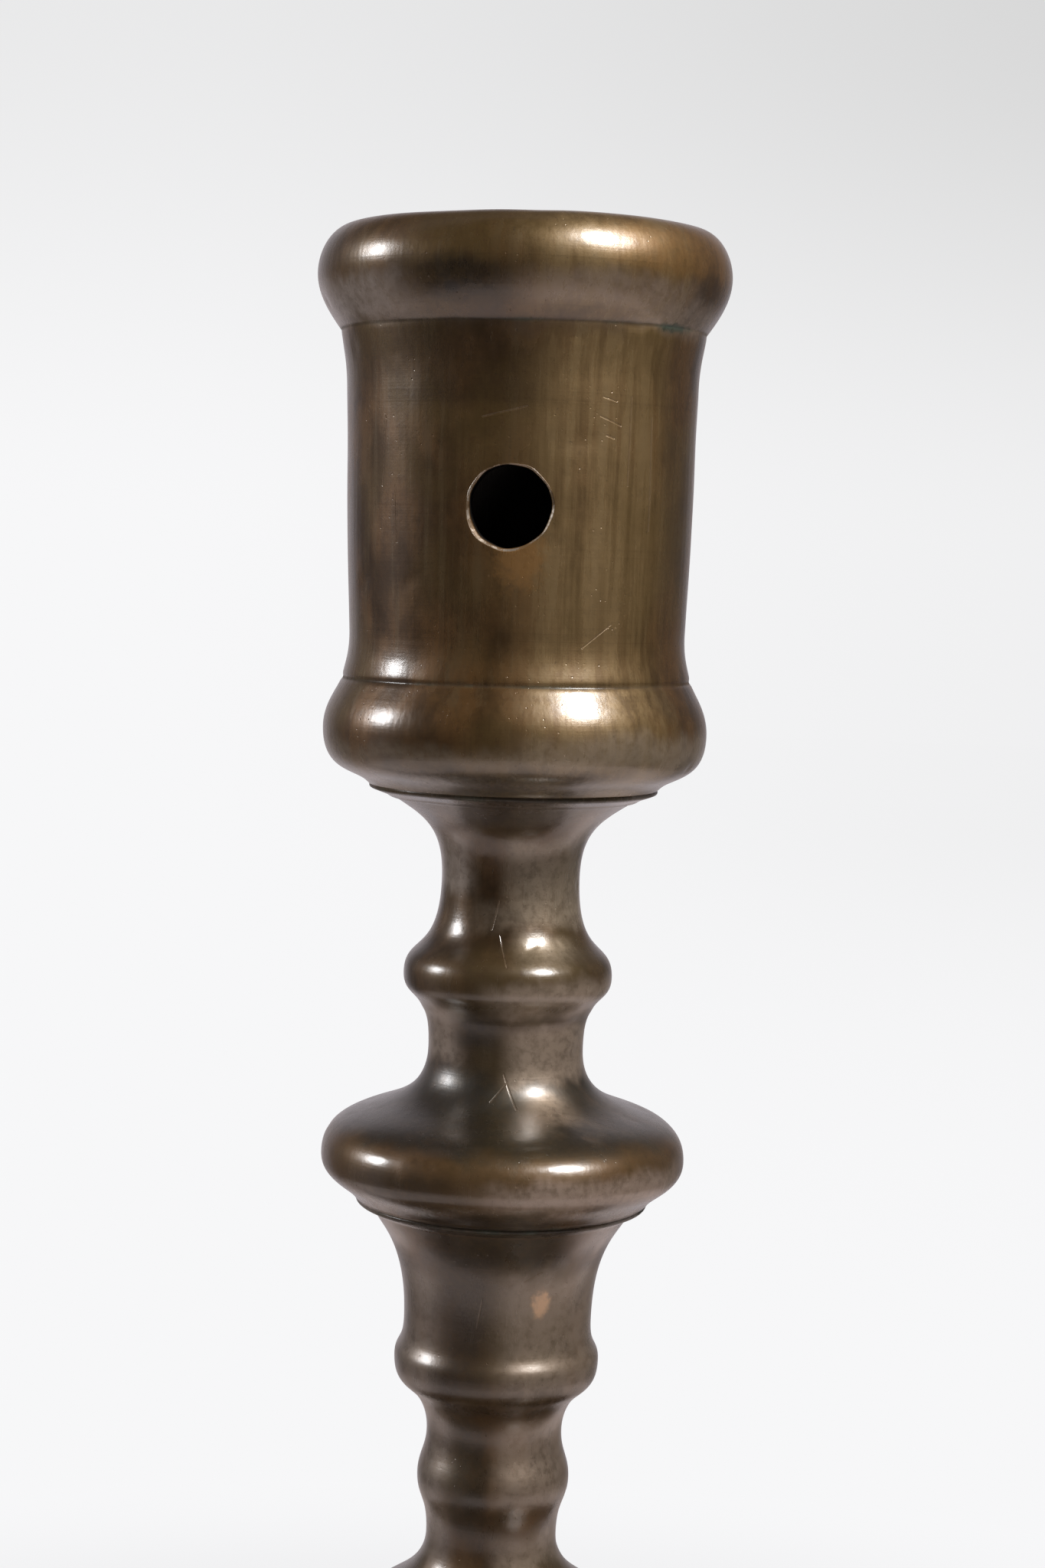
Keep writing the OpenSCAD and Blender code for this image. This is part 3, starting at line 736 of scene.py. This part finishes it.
class Graph:
    """Short calls for a node tree."""

    def __init__(self, tree):
        self.tree = tree
        tree.nodes.clear()

    def node(self, kind, inputs=None, **settings):
        """A node with its settings, and its inputs by name or index: constants or other nodes' outputs."""
        made = self.tree.nodes.new("ShaderNode" + kind)
        for key, value in settings.items():
            setattr(made, key, value)
        for key, value in (inputs or {}).items():
            if isinstance(value, bpy.types.NodeSocket):
                self.tree.links.new(value, made.inputs[key])
            elif value is not None:
                made.inputs[key].default_value = value
        return made

    def math(self, operation, a, b=None, clamp=False):
        return self.node("Math", {0: a, 1: b}, operation=operation, use_clamp=clamp).outputs[0]

    def plus(self, a, b, clamp=False):
        return self.math("ADD", a, b, clamp)

    def minus(self, a, b):
        return self.math("SUBTRACT", a, b)

    def times(self, a, b, clamp=False):
        return self.math("MULTIPLY", a, b, clamp)

    def larger(self, a, b):
        return self.math("MAXIMUM", a, b)

    def vector(self, operation, a, b=None):
        made = self.node("VectorMath", {0: a, 1: b}, operation=operation)
        return made.outputs["Value" if operation in ("DOT_PRODUCT", "LENGTH") else 0]

    def split(self, vector):
        return self.node("SeparateXYZ", {0: vector}).outputs

    def joined(self, x, y, z):
        return self.node("CombineXYZ", {0: x, 1: y, 2: z}).outputs[0]

    def range(self, value, low, high, to_low=0, to_high=1):
        """Smooth step of the value from low to high."""
        inputs = {"Value": value, "From Min": low, "From Max": high, "To Min": to_low, "To Max": to_high}
        return self.node("MapRange", inputs, interpolation_type="SMOOTHSTEP").outputs[0]

    def within(self, mask, value, low, high, fade):
        """The mask, or 1 if it is None, where the value is between low and high, with soft edges."""
        rising = self.range(value, low - fade, low + fade)
        if mask is not None:
            rising = self.times(mask, rising)
        return self.times(rising, self.range(value, high - fade, high + fade, 1, 0))

    def noise(self, vector, scale, detail=3, rough=0.55, warp=0):
        made = self.node("TexNoise", {
            "Vector": vector, "Scale": scale, "Detail": detail, "Roughness": rough, "Distortion": warp})
        return made.outputs["Fac"]

    def cells(self, vector, scale):
        made = self.node("TexVoronoi", {"Vector": vector, "Scale": scale}, feature="F1")
        return made.outputs["Distance"]

    def stretch(self, vector, factors):
        return self.node("Mapping", {"Vector": vector, "Scale": factors}).outputs[0]

    def blend(self, amount, a, b):
        return self.node("Mix", {0: amount, 6: a, 7: b}, data_type="RGBA").outputs[2]

    def cover(self, colour, shade, mask, amount):
        """The colour, covered with the shade by the amount where the mask is."""
        return self.blend(self.times(mask, amount), colour, shade)

    def value(self, name):
        return self.node("Attribute", attribute_name=name).outputs["Fac"]

    def bump(self, height, distance):
        """Normal of a relief whose height 1 is the distance, in metres."""
        inputs = {"Strength": 1, "Distance": distance, "Height": height}
        return self.node("Bump", inputs).outputs[0]

    def surface(self, kind, shader):
        self.node(kind, {"Surface": shader.outputs[0]})


def new_material(name):
    made = bpy.data.materials.new(name)
    made.use_nodes = True
    return made, Graph(made.node_tree)


def position(g):
    """Object position in millimetres."""
    place = g.node("TexCoord").outputs["Object"]
    return g.vector("MULTIPLY", place, (1000, 1000, 1000))


def moved(g, at, seed, shift):
    """The position moved by the shift as often as the seed says, so that no two pieces match."""
    return g.vector("ADD", at, tuple(seed * part for part in shift))


def stroke(g, flat, start, end, width):
    """Mask of one scratch on the unrolled surface."""
    a = Vector(start)
    line = Vector(end) - a
    away = g.vector("SUBTRACT", flat, (a.x, 0, a.y))
    share = g.vector("DOT_PRODUCT", away, (line.x, 0, line.y))
    share = g.math("DIVIDE", share, line.length_squared, clamp=True)
    foot = g.node("VectorMath", {0: (line.x, 0, line.y), "Scale": share}, operation="SCALE")
    far = g.vector("LENGTH", g.vector("SUBTRACT", away, foot.outputs[0]))
    return g.range(far, width * 0.35, width, 1, 0)


def stain(g, flat, centre, size, ragged):
    """Mask of one ragged stain on the unrolled surface."""
    away = g.vector("SUBTRACT", flat, (centre[0], 0, centre[1]))
    away = g.vector("DIVIDE", away, (size[0], 1, size[1]))
    far = g.plus(g.vector("LENGTH", away), g.times(g.minus(ragged, 0.5), 1.6))
    return g.range(far, 0.35, 1.15, 1, 0)


# Dark, warm, olive and umber tones of the bronze's skin, then what lies on it, with a painted sheen, shade
# and glint among them
SKIN_TONES = ((0.06, 0.03, 0.0095), (0.15, 0.074, 0.023), (0.125, 0.078, 0.028), (0.085, 0.041, 0.014))
STREAK_TONE = rgb(0.15, 0.098, 0.036)
# Painted sheen: a golden colour where the socket's lit side catches the light
PAINTED_SHEEN_TONE = rgb(0.25, 0.16, 0.066)
SPECK_TONE = rgb(0.022, 0.016, 0.01)
GRIME_TONE = rgb(0.02, 0.014, 0.008)
VERDIGRIS_TONE = rgb(0.035, 0.055, 0.04)
RUBBED_TONE = rgb(0.24, 0.135, 0.05)
SCRATCH_TONE = rgb(0.3, 0.2, 0.13)
# Painted shade: near-black for the inside of the bore and the extraction hole's wall
PAINTED_SHADE_TONE = rgb(0.006, 0.005, 0.005)
# Bare metal worn through, painted bright enough to stand for a glint as well
BARE_AND_GLINT_TONE = rgb(0.62, 0.52, 0.42)
RUST_TONE = rgb(0.135, 0.055, 0.022)

# Streakiness over which a piece also has fine brush lines, in colour and in relief
BRUSHED = 0.2

# Depth of the fine relief, in metres
BRONZE_RELIEF = 0.000035
IRON_RELIEF = 0.00006


class Patterns:
    """Coordinates and noises that a bronze is made of, with scales per millimetre."""

    def __init__(self, g, seed, flat_r, turning):
        at = position(g)
        x, y, self.z = g.split(at)
        self.angle = g.math("ARCTAN2", x, g.times(y, -1))
        self.radius = g.math("SQRT", g.plus(g.times(x, x), g.times(y, y)))
        self.flat = g.joined(g.times(self.angle, flat_r), 0, self.z)
        self.hollow = g.value("hollow")
        self.edge = g.value("edge")
        at = moved(g, at, seed, (13.7, 7.1, 3.3))
        self.broad = g.noise(at, 0.085, 2, 0.5)
        self.cloud = g.noise(g.stretch(at, (1, 1, 0.55)), 0.3, 4, 0.55)
        self.mottle = g.noise(at, 1.3, 5, 0.68)
        self.speck = g.noise(at, 4, 3, 0.6)
        self.streak = g.noise(g.stretch(at, (0.75, 0.75, 0.035)), 1, 4, 0.72)
        self.drawn = g.noise(g.stretch(at, (1.6, 1.6, 0.07)), 1, 1, 0.5)
        self.fine = g.noise(g.stretch(at, (3.5, 3.5, 0.1)), 1, 1, 0.5)
        lines = g.joined(g.times(self.radius, turning[0]), 0, g.times(self.z, turning[1]))
        self.ring = g.noise(lines, 1, 3, 0.6)
        self.pits = g.range(g.cells(at, 1.6), 0, 0.16, -0.9, 0)


def skin(g, p, tones, streaky, painted_sheen):
    """Colour of the patina: clouds, mottling, streaks, a golden painted sheen on the lit side and turning
    lines.
    """
    dark, warm, olive, umber = tones
    colour = g.blend(g.range(p.cloud, 0.36, 0.66), dark, warm)
    colour = g.cover(colour, olive, g.range(p.broad, 0.42, 0.62), 0.75)
    colour = g.cover(colour, umber, g.range(p.mottle, 0.5, 0.72), 0.55)
    colour = g.cover(colour, STREAK_TONE, g.range(p.streak, 0.5, 0.72), streaky)
    if streaky > BRUSHED:
        colour = g.cover(colour, dark, g.range(p.fine, 0.52, 0.7), streaky * 0.6)
    # Painted sheen: a golden zone on the lit side, between two angles from the hole
    if painted_sheen is not None:
        start, end, amount = painted_sheen
        fade = 0.35
        where = g.times(g.range(p.angle, start, start + fade), g.range(p.angle, end - fade, end, 1, 0))
        where = g.times(where, g.range(p.streak, 0.36, 0.6, 0.45, 1))
        where = g.times(where, g.range(p.cloud, 0.32, 0.6, 0.8, 1))
        colour = g.cover(colour, PAINTED_SHEEN_TONE, where, amount)
    return g.cover(colour, dark, g.range(p.ring, 0.55, 0.75), 0.2)


def painted_light_and_tone_bands(g, p, colour, light_and_tone_bands):
    """The colour with zones of painted light and shade, and a few of tone, ragged at their lower and upper
    edges.
    """
    ragged = g.plus(p.z, g.times(g.minus(p.cloud, 0.5), 3))
    for low, high, start, end, shade, amount in light_and_tone_bands:
        where = g.within(None, ragged, low, high, fade=0.8)
        if start is not None:
            where = g.within(where, p.angle, start, end, fade=0.2)
        where = g.times(where, g.range(p.mottle, 0.3, 0.6, 0.6, 1))
        colour = g.cover(colour, rgb(*shade), where, amount)
    return colour


def scratches(g, p, strokes):
    """Mask of all the strokes, or None without any."""
    marks = None
    for start, end, width in strokes:
        mask = stroke(g, p.flat, start, end, width)
        marks = mask if marks is None else g.larger(marks, mask)
    return marks


def relief(g, p, marks, streaky):
    """Height of the skin's fine relief."""
    height = g.plus(g.times(p.mottle, 0.35), g.times(p.speck, 0.1))
    if streaky > BRUSHED:
        height = g.plus(height, g.times(p.drawn, 0.35))
    height = g.plus(height, g.times(p.ring, 0.2))
    height = g.plus(height, g.times(p.pits, g.range(p.cloud, 0.45, 0.7)))
    if marks is not None:
        height = g.minus(height, g.times(marks, 0.5))
    return height


def bronze(name, seed, brown, green, flat_r, strokes=(), stains=(), light_and_tone_bands=(), inner=None, streaky=0.15,
           tint=(1, 1, 1), painted_sheen=None, duller=0, turning=(0.3, 3.2), worn=None):
    """Old bronze: a dark brown skin, mottled, with rubbed edges, grime in the hollows and a handled gloss.
    It is painted near-black as shade within the radius and over the height of inner and in the extraction
    hole's wall, and duller between the heights of worn."""
    made, g = new_material(name)
    p = Patterns(g, seed, flat_r, turning)
    tint = [brown * part for part in tint]
    tones = [rgb(*(part * by for part, by in zip(tone, tint))) for tone in SKIN_TONES]
    colour = skin(g, p, tones, streaky, painted_sheen)
    colour = painted_light_and_tone_bands(g, p, colour, light_and_tone_bands)
    colour = g.cover(colour, SPECK_TONE, g.range(p.speck, 0.62, 0.78), 0.5)

    grime = g.times(g.range(p.hollow, 0.06, 0.55), g.range(p.mottle, 0.25, 0.55, 0.55, 1), clamp=True)
    colour = g.cover(colour, GRIME_TONE, grime, 0.55)
    verdigris = g.times(g.range(p.hollow, 0.05, 0.5), g.range(p.cloud, 0.52, 0.7))
    verdigris = g.times(verdigris, green, clamp=True)
    colour = g.blend(verdigris, colour, VERDIGRIS_TONE)
    rubbed = g.times(g.range(p.edge, 0.08, 0.7), g.range(p.mottle, 0.34, 0.58, 0.25, 1), clamp=True)
    colour = g.cover(colour, RUBBED_TONE, rubbed, 0.35)

    marks = scratches(g, p, strokes)
    if marks is not None:
        broken = g.times(marks, g.range(p.speck, 0.36, 0.56, 0.1, 1))
        colour = g.cover(colour, SCRATCH_TONE, broken, 0.24)
    for centre, size, shade, amount in stains:
        colour = g.cover(colour, rgb(*shade), stain(g, p.flat, centre, size, p.mottle), amount)
    # Painted shade: the bore near the floor and the extraction hole's wall are darkened almost to black,
    # and lose their coat
    painted_shade = None
    if inner is not None:
        reach, height = inner
        painted_shade = g.range(p.radius, reach, reach + 0.5, 1, 0)
        painted_shade = g.times(painted_shade, g.range(p.z, height, height + 1.5))
        painted_shade = g.larger(painted_shade, g.range(p.hollow, 1.05, 1.4))
        colour = g.cover(colour, PAINTED_SHADE_TONE, painted_shade, 0.95)
    # Bare metal on the hole's worn bevel, painted bright as a glint as well
    bare_and_glint = g.times(g.range(p.edge, 1, 1.25), g.range(p.mottle, 0.47, 0.57, 0.12, 1))
    colour = g.blend(bare_and_glint, colour, BARE_AND_GLINT_TONE)

    rough = g.plus(g.range(p.mottle, 0.3, 0.7, 0.44, 0.54), g.times(grime, 0.25))
    rough = g.plus(rough, g.times(verdigris, 0.2), clamp=True)
    gloss = g.range(p.cloud, 0.3, 0.7, 0.18 + duller, 0.25 + duller)
    gloss = g.plus(gloss, g.times(g.range(p.streak, 0.45, 0.7), 0.05))
    if worn is not None:
        low, high, amount = worn
        gloss = g.plus(gloss, g.times(g.within(None, p.z, low, high, fade=1.5), amount))
    metal = g.larger(g.minus(0.62, g.times(grime, 0.4)), bare_and_glint)
    coat = g.minus(0.95, g.times(g.larger(grime, verdigris), 0.6))
    if painted_shade is not None:
        coat = g.times(coat, g.minus(1, g.times(painted_shade, 0.8)))
    normal = g.bump(relief(g, p, marks, streaky), BRONZE_RELIEF)

    shader = g.node("BsdfPrincipled", {
        "Base Color": colour, "Metallic": metal, "Roughness": rough, "Normal": normal,
        "IOR": 1.5, "Specular IOR Level": 0.25,
        "Coat Weight": coat, "Coat Roughness": gloss, "Coat IOR": 1.85, "Coat Normal": normal})
    g.surface("OutputMaterial", shader)
    return made


def iron(name, seed):
    """Oxidised iron of the washer and the nut: file marks, grit and rust in patches."""
    made, g = new_material(name)
    at = moved(g, position(g), seed, (5.1, 9.3, 2.7))
    cloud = g.noise(at, 0.5, 4, 0.6, 0.5)
    grit = g.noise(at, 3.5, 4, 0.65)
    filed = g.noise(g.stretch(at, (0.3, 5, 5)), 1, 3, 0.6)
    colour = g.blend(g.range(cloud, 0.35, 0.65), rgb(0.03, 0.026, 0.023), rgb(0.075, 0.062, 0.052))
    rust = g.times(g.range(cloud, 0.5, 0.68), g.range(grit, 0.4, 0.62))
    height = g.plus(g.times(filed, 0.6), g.times(grit, 0.6))
    shader = g.node("BsdfPrincipled", {
        "Base Color": g.blend(rust, colour, RUST_TONE),
        "Metallic": g.minus(0.8, g.times(rust, 0.7)),
        "Roughness": g.range(grit, 0.3, 0.7, 0.42, 0.68),
        "Normal": g.bump(height, IRON_RELIEF)})
    g.surface("OutputMaterial", shader)
    return made


# Scratches as start and end on the unrolled surface, in millimetres round from the hole and up from the
# floor, and a width
SOCKET_STROKES = [
    ((-12, 171), (-11.6, 176.5), 0.11),
    ((-10.2, 166.5), (-10.4, 171), 0.1),
    ((9.8, 171.5), (9.9, 178.5), 0.1),
    ((12.4, 168), (12.2, 177), 0.12),
    ((6.2, 158.5), (8.8, 160.4), 0.09),
    ((-2.5, 176.5), (1, 177.4), 0.09),
    ((7.2, 178.4), (8.4, 178.1), 0.1),
    ((7, 176.9), (8.9, 176.2), 0.11),
    ((7.6, 175.4), (8.3, 175.2), 0.12),
]
UPPER_STROKES = [
    ((-1.6, 134.6), (-0.9, 137), 0.12),
    ((0.4, 131.8), (-0.5, 134.2), 0.1),
    ((1.6, 119.9), (0.4, 122.5), 0.14),
    ((-0.8, 120.3), (0.8, 121.9), 0.12),
]
LOWER_STROKES = [
    ((2.8, 105.2), (4.2, 106), 0.1),
    ((-1.4, 101), (-0.9, 103.6), 0.1),
]


# Stains as centre and half size on the same surface, colour and amount
SOCKET_STAINS = [
    ((0.8, 165.4), (2.4, 2.8), (0.34, 0.17, 0.05), 0.75),
    ((14, 184.2), (2.6, 0.45), (0.03, 0.06, 0.045), 0.7),
    ((-4.5, 186.4), (0.7, 0.5), (0.02, 0.015, 0.012), 0.7),
]
LOWER_STAINS = [
    ((4.55, 103.1), (1, 1.5), (0.62, 0.38, 0.22), 0.9),
]


# Zones of painted light and shade (reflections, lit sides, shadows under rims and knops), a few of tone:
# lowest and highest height, start and end in radians from the hole, colour, amount
# Socket: painted light and shade
SOCKET_PAINTED_LIGHT_BANDS = [
    (144, 150, None, None, (0.3, 0.235, 0.16), 0.55),
    (146, 148.8, -0.75, 0.6, (0.026, 0.018, 0.011), 0.7),
    (149.2, 151.4, 0.15, 1.5, (0.36, 0.28, 0.2), 0.55),
    (177.5, 184.5, -0.7, 0.15, (0.04, 0.021, 0.007), 0.55),
    (185.4, 188.8, -0.5, -0.02, (0.022, 0.013, 0.006), 0.78),
    (188.2, 192.4, 0.5, 1.5, (0.3, 0.15, 0.045), 0.5),
    (185.6, 187.8, 0.05, 0.95, (0.33, 0.245, 0.19), 0.6),
    (184.2, 187.6, -1.5, -0.6, (0.4, 0.33, 0.285), 0.75),
    (188.4, 191, -1.5, -0.9, (0.04, 0.022, 0.01), 0.5),
    (183.6, 185, -0.4, 0.65, (0.09, 0.055, 0.035), 0.6),
    (184, 186, 0.75, 1.5, (0.34, 0.26, 0.2), 0.7),
]
UPPER_PAINTED_LIGHT_AND_TONE_BANDS = [
    # Upper stem: painted light and shade, and a warm tone round the large knop
    (135.2, 142.2, 0, 1.6, (0.43, 0.34, 0.245), 0.7),
    (132, 134, 0.2, 0.9, (0.36, 0.28, 0.19), 0.6),
    (141.5, 146.5, 0.85, 1.6, (0.5, 0.42, 0.36), 0.7),
    (137.5, 142.5, -1.5, -0.55, (0.38, 0.32, 0.27), 0.65),
    (134.3, 136.6, -0.4, 0.3, (0.3, 0.23, 0.165), 0.45),
    (143.4, 146.4, -0.6, 0.6, (0.034, 0.026, 0.02), 0.65),
    (127.5, 130.3, -0.1, 1.5, (0.42, 0.32, 0.24), 0.75),
    (121.5, 126.4, 0.1, 1.6, (0.46, 0.35, 0.26), 0.75),
    (123.2, 128, -1.6, -0.55, (0.42, 0.33, 0.26), 0.75),
    (124.6, 127.6, -0.6, -0.1, (0.034, 0.026, 0.02), 0.75),
    (113, 117, None, None, (0.15, 0.078, 0.028), 0.6),
    (117, 121.5, None, None, (0.03, 0.027, 0.017), 0.7),
    (117.2, 122.6, -1.4, -0.1, (0.026, 0.02, 0.014), 0.7),
    (118.6, 120.8, 0.3, 0.75, (0.46, 0.34, 0.24), 0.8),
    (112.4, 115, 0, 1.3, (0.44, 0.33, 0.26), 0.75),
    (112.6, 115.2, -0.85, -0.2, (0.05, 0.035, 0.022), 0.7),
    (109.4, 111.9, -0.5, 0.5, (0.03, 0.022, 0.016), 0.75),
]
LOWER_PAINTED_LIGHT_BANDS = [
    # Lower stem: painted light and shade
    (95, 108, -0.6, -0.05, (0.05, 0.036, 0.026), 0.7),
    (95, 105.5, 0.1, 1.6, (0.37, 0.285, 0.215), 0.55),
    (84.8, 92.4, 0.1, 1.6, (0.38, 0.29, 0.22), 0.6),
    (79, 81.8, 0.1, 1.6, (0.38, 0.29, 0.22), 0.6),
    (107.6, 110.8, 0.8, 1.6, (0.5, 0.42, 0.38), 0.7),
    (107.6, 110.8, -1.6, -0.85, (0.5, 0.42, 0.38), 0.7),
    (79, 105, -1.5, -0.6, (0.32, 0.26, 0.215), 0.55),
    (106.5, 110.8, -0.6, 0.6, (0.03, 0.022, 0.014), 0.8),
    (82, 92.5, -0.55, -0.08, (0.042, 0.038, 0.027), 0.6),
]


def dress(pieces):
    """Bronze on the turned pieces, and iron on the washer and the nut, which are the CAD's own."""
    slots = {
        "candle_socket": bronze(
            "bronze_socket", seed=1, brown=1, green=0.5, flat_r=14.5, strokes=SOCKET_STROKES,
            # The socket's bore is painted near-black as shade
            stains=SOCKET_STAINS, light_and_tone_bands=SOCKET_PAINTED_LIGHT_BANDS, inner=(BORE_R + 0.35, SOCKET_SEAM_Z + 2),
            # The socket's gold is a painted sheen on its lit side
            streaky=0.35, tint=(1, 0.97, 0.82), painted_sheen=(-0.1, 1.12, 0.95), duller=0.035),
        "upper_stem": bronze(
            "bronze_upper", seed=2, brown=0.82, green=0.4, flat_r=9, strokes=UPPER_STROKES,
            light_and_tone_bands=UPPER_PAINTED_LIGHT_AND_TONE_BANDS, tint=(0.98, 1.02, 1.1), duller=0.02, worn=(119.5, 128, 0.1)),
        "lower_stem": bronze(
            "bronze_lower", seed=3, brown=0.88, green=0.6, flat_r=9, strokes=LOWER_STROKES,
            stains=LOWER_STAINS, light_and_tone_bands=LOWER_PAINTED_LIGHT_BANDS, tint=(0.98, 1.04, 1.2), duller=0.07),
        "drip_pan": bronze("bronze_pan", seed=4, brown=0.95, green=0.5, flat_r=30, turning=(3.2, 0.3)),
        "base": bronze("bronze_base", seed=5, brown=0.95, green=0.5, flat_r=40, turning=(2.2, 1.2)),
    }
    for node, material in slots.items():
        pieces[node].data.materials.append(material)
    for index, node in enumerate(("base_washer", "base_nut")):
        material = iron("iron_" + node, 1 + index)
        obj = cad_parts[node]
        for slot in obj.material_slots:
            slot.material = material
        if not obj.material_slots:
            obj.data.materials.append(material)


# Backdrop as the camera sees it, light and darker, what the object mirrors of the room, the dim light from
# all round, and the paper as it is and as it is mirrored
PALE = rgb(0.93, 0.93, 0.93 * 1.01)
PALE_TOP = rgb(0.67, 0.67, 0.67)
ROOM_LEFT = rgb(0.17, 0.145, 0.145)
ROOM_NEARER = rgb(0.075, 0.064, 0.064)
ROOM_BEHIND = rgb(0.62, 0.57, 0.6)
ROOM_RIGHT = rgb(0.08, 0.075, 0.075)
ROOM_FRONT = rgb(0.016, 0.012, 0.009)
AMBIENT = rgb(0.13, 0.13, 0.135)
PAPER = rgb(0.84, 0.84, 0.85)
PAPER_MIRRORED = rgb(0.84, 0.72, 0.69)

# Distance of the lamps and the point that they face, in metres
LAMP_AWAY = 1.1
LAMP_AIM = (0, 0, 0.15)

# Camera: height of the picture and focal length in pixels, and the sensor in millimetres
FRAME_H = 2048
FOCUS_PX = 3694
SENSOR = 36
# Degrees round from the hole towards +X, downwards, and of turn about the line of sight
VIEW_ROUND = 3.2
VIEW_PITCH = 6.54
VIEW_ROLL = 1.745
# Millimetres from the turning axis and under the height of the hole
VIEW_AWAY = 240
VIEW_DROP = 3.5
# Pixels that the line of sight passes the turning axis by, and that the lens is shifted by
VIEW_ASIDE_PX = 12.5
SHIFT_PX = (2.7, 117.1)


def room(g, x, y):
    """What the object mirrors round it: pale behind, dimmer at the sides and dark in front."""
    behind = g.range(g.plus(y, g.times(x, -0.315)), -0.08, 0.17)
    pale = g.blend(g.range(y, 0.05, 0.35), ROOM_LEFT, ROOM_NEARER)
    pale = g.blend(g.range(y, 0.6, 0.97), pale, ROOM_BEHIND)
    pale = g.blend(g.range(x, 0, 0.7), pale, ROOM_RIGHT)
    return g.blend(behind, ROOM_FRONT, pale)


def rays(g):
    """1 for what the camera sees, and 1 for what is mirrored."""
    path = g.node("LightPath")
    mirrored = g.larger(path.outputs["Is Glossy Ray"], path.outputs["Is Transmission Ray"])
    return path.outputs["Is Camera Ray"], mirrored


def floor():
    """Round sheet of paper that runs into the backdrop at a distance."""
    bpy.ops.mesh.primitive_circle_add(vertices=96, radius=2.4, fill_type="NGON")
    obj = bpy.context.object
    obj.name = "floor"
    made, g = new_material("floor_paper")
    place = g.node("NewGeometry").outputs["Position"]
    reach = g.vector("LENGTH", place)
    x, y, _ = g.split(g.vector("NORMALIZE", place))
    seen, mirrored = rays(g)
    dim = g.times(g.range(x, -0.2, 0.2), g.range(reach, 0.3, 1.6, 0, 0.25))
    backdrop = g.blend(dim, PALE, PALE_TOP)
    ahead = g.range(y, -0.3, 0.2, 0.28, 0)
    far = g.times(mirrored, g.larger(ahead, g.range(reach, 0.17, 0.25)))
    share = g.plus(g.times(seen, g.range(reach, 0.1, 0.25)), far, clamp=True)
    paper = g.node("BsdfDiffuse", {"Color": g.blend(mirrored, PAPER, PAPER_MIRRORED)})
    glow = g.node("Emission", {"Color": g.blend(seen, room(g, x, y), backdrop)})
    mix = g.node("MixShader", {0: share, 1: paper.outputs[0], 2: glow.outputs[0]})
    g.surface("OutputMaterial", mix)
    obj.data.materials.append(made)


def surroundings():
    """The backdrop for the camera, the room in reflections, and a dim light from all round."""
    world = bpy.data.worlds.new("studio")
    bpy.context.scene.world = world
    world.use_nodes = True
    g = Graph(world.node_tree)
    x, y, z = g.split(g.node("TexCoord").outputs["Generated"])
    seen, mirrored = rays(g)
    rise = g.range(z, 0, 0.2)
    side = g.range(x, -0.2, 0.2)
    dim = g.plus(g.times(rise, 0.45), g.times(side, 0.25))
    dim = g.plus(dim, g.times(g.times(rise, side), 0.3))
    unseen = g.blend(mirrored, AMBIENT, room(g, x, y))
    sky = g.blend(dim, PALE, PALE_TOP)
    background = g.node("Background", {"Color": g.blend(seen, unseen, sky)})
    g.surface("OutputWorld", background)


def softbox(name, turn, rise, size, power, colour):
    """Rectangular lamp: turn is the angle from the hole towards +X, rise the angle over level."""
    lamp = bpy.data.lights.new(name, "AREA")
    lamp.shape = "RECTANGLE"
    lamp.size = size[0]
    lamp.size_y = size[1]
    lamp.energy = power
    lamp.color = colour
    obj = placed(name, lamp)
    a = math.radians(turn)
    e = math.radians(rise)
    way = Vector((math.sin(a) * math.cos(e), -math.cos(a) * math.cos(e), math.sin(e)))
    obj.location = Vector(LAMP_AIM) + way * LAMP_AWAY
    obj.rotation_euler = way.to_track_quat("Z", "Y").to_euler()
    obj.visible_camera = False


def lights():
    """A key light on the right and a weaker one on the left."""
    softbox("key_box", turn=54, rise=44, size=(0.23, 0.27), power=12.6, colour=(1, 0.995, 0.99))
    softbox("side_box", turn=-88, rise=20, size=(0.2, 0.26), power=4.8, colour=(0.98, 0.985, 1))


def turned(a, b, angle):
    """Two axes at right angles, turned in their plane, the first towards the second."""
    c = math.cos(angle)
    s = math.sin(angle)
    return a * c + b * s, b * c - a * s


def camera():
    """The photograph's view, close up from just under the hole's height and looking a little down."""
    data = bpy.data.cameras.new("camera")
    data.sensor_width = SENSOR
    data.lens = FOCUS_PX * SENSOR / FRAME_H
    data.clip_start = 0.01
    data.clip_end = 20
    data.shift_x = SHIFT_PX[0] / FRAME_H
    data.shift_y = SHIFT_PX[1] / FRAME_H
    obj = placed("camera", data)
    right, ahead = turned(Vector((1, 0, 0)), Vector((0, 1, 0)), math.radians(VIEW_ROUND))
    up, forward = turned(Vector((0, 0, 1)), ahead, math.radians(VIEW_PITCH))
    forward, right = turned(forward, right, math.atan2(VIEW_ASIDE_PX, FOCUS_PX))
    right, up = turned(right, up, math.radians(VIEW_ROLL))
    height = (SOCKET_SEAM_Z + HOLE_Z - VIEW_DROP) * MM
    place = -ahead * (VIEW_AWAY * MM) + Vector((0, 0, height))
    turn = Matrix((right, up, -forward)).transposed().to_4x4()
    obj.matrix_world = Matrix.Translation(place) @ turn
    bpy.context.scene.camera = obj


dress(build_pieces())
floor()
surroundings()
lights()
camera()
bpy.context.scene.view_settings.view_transform = "Standard"
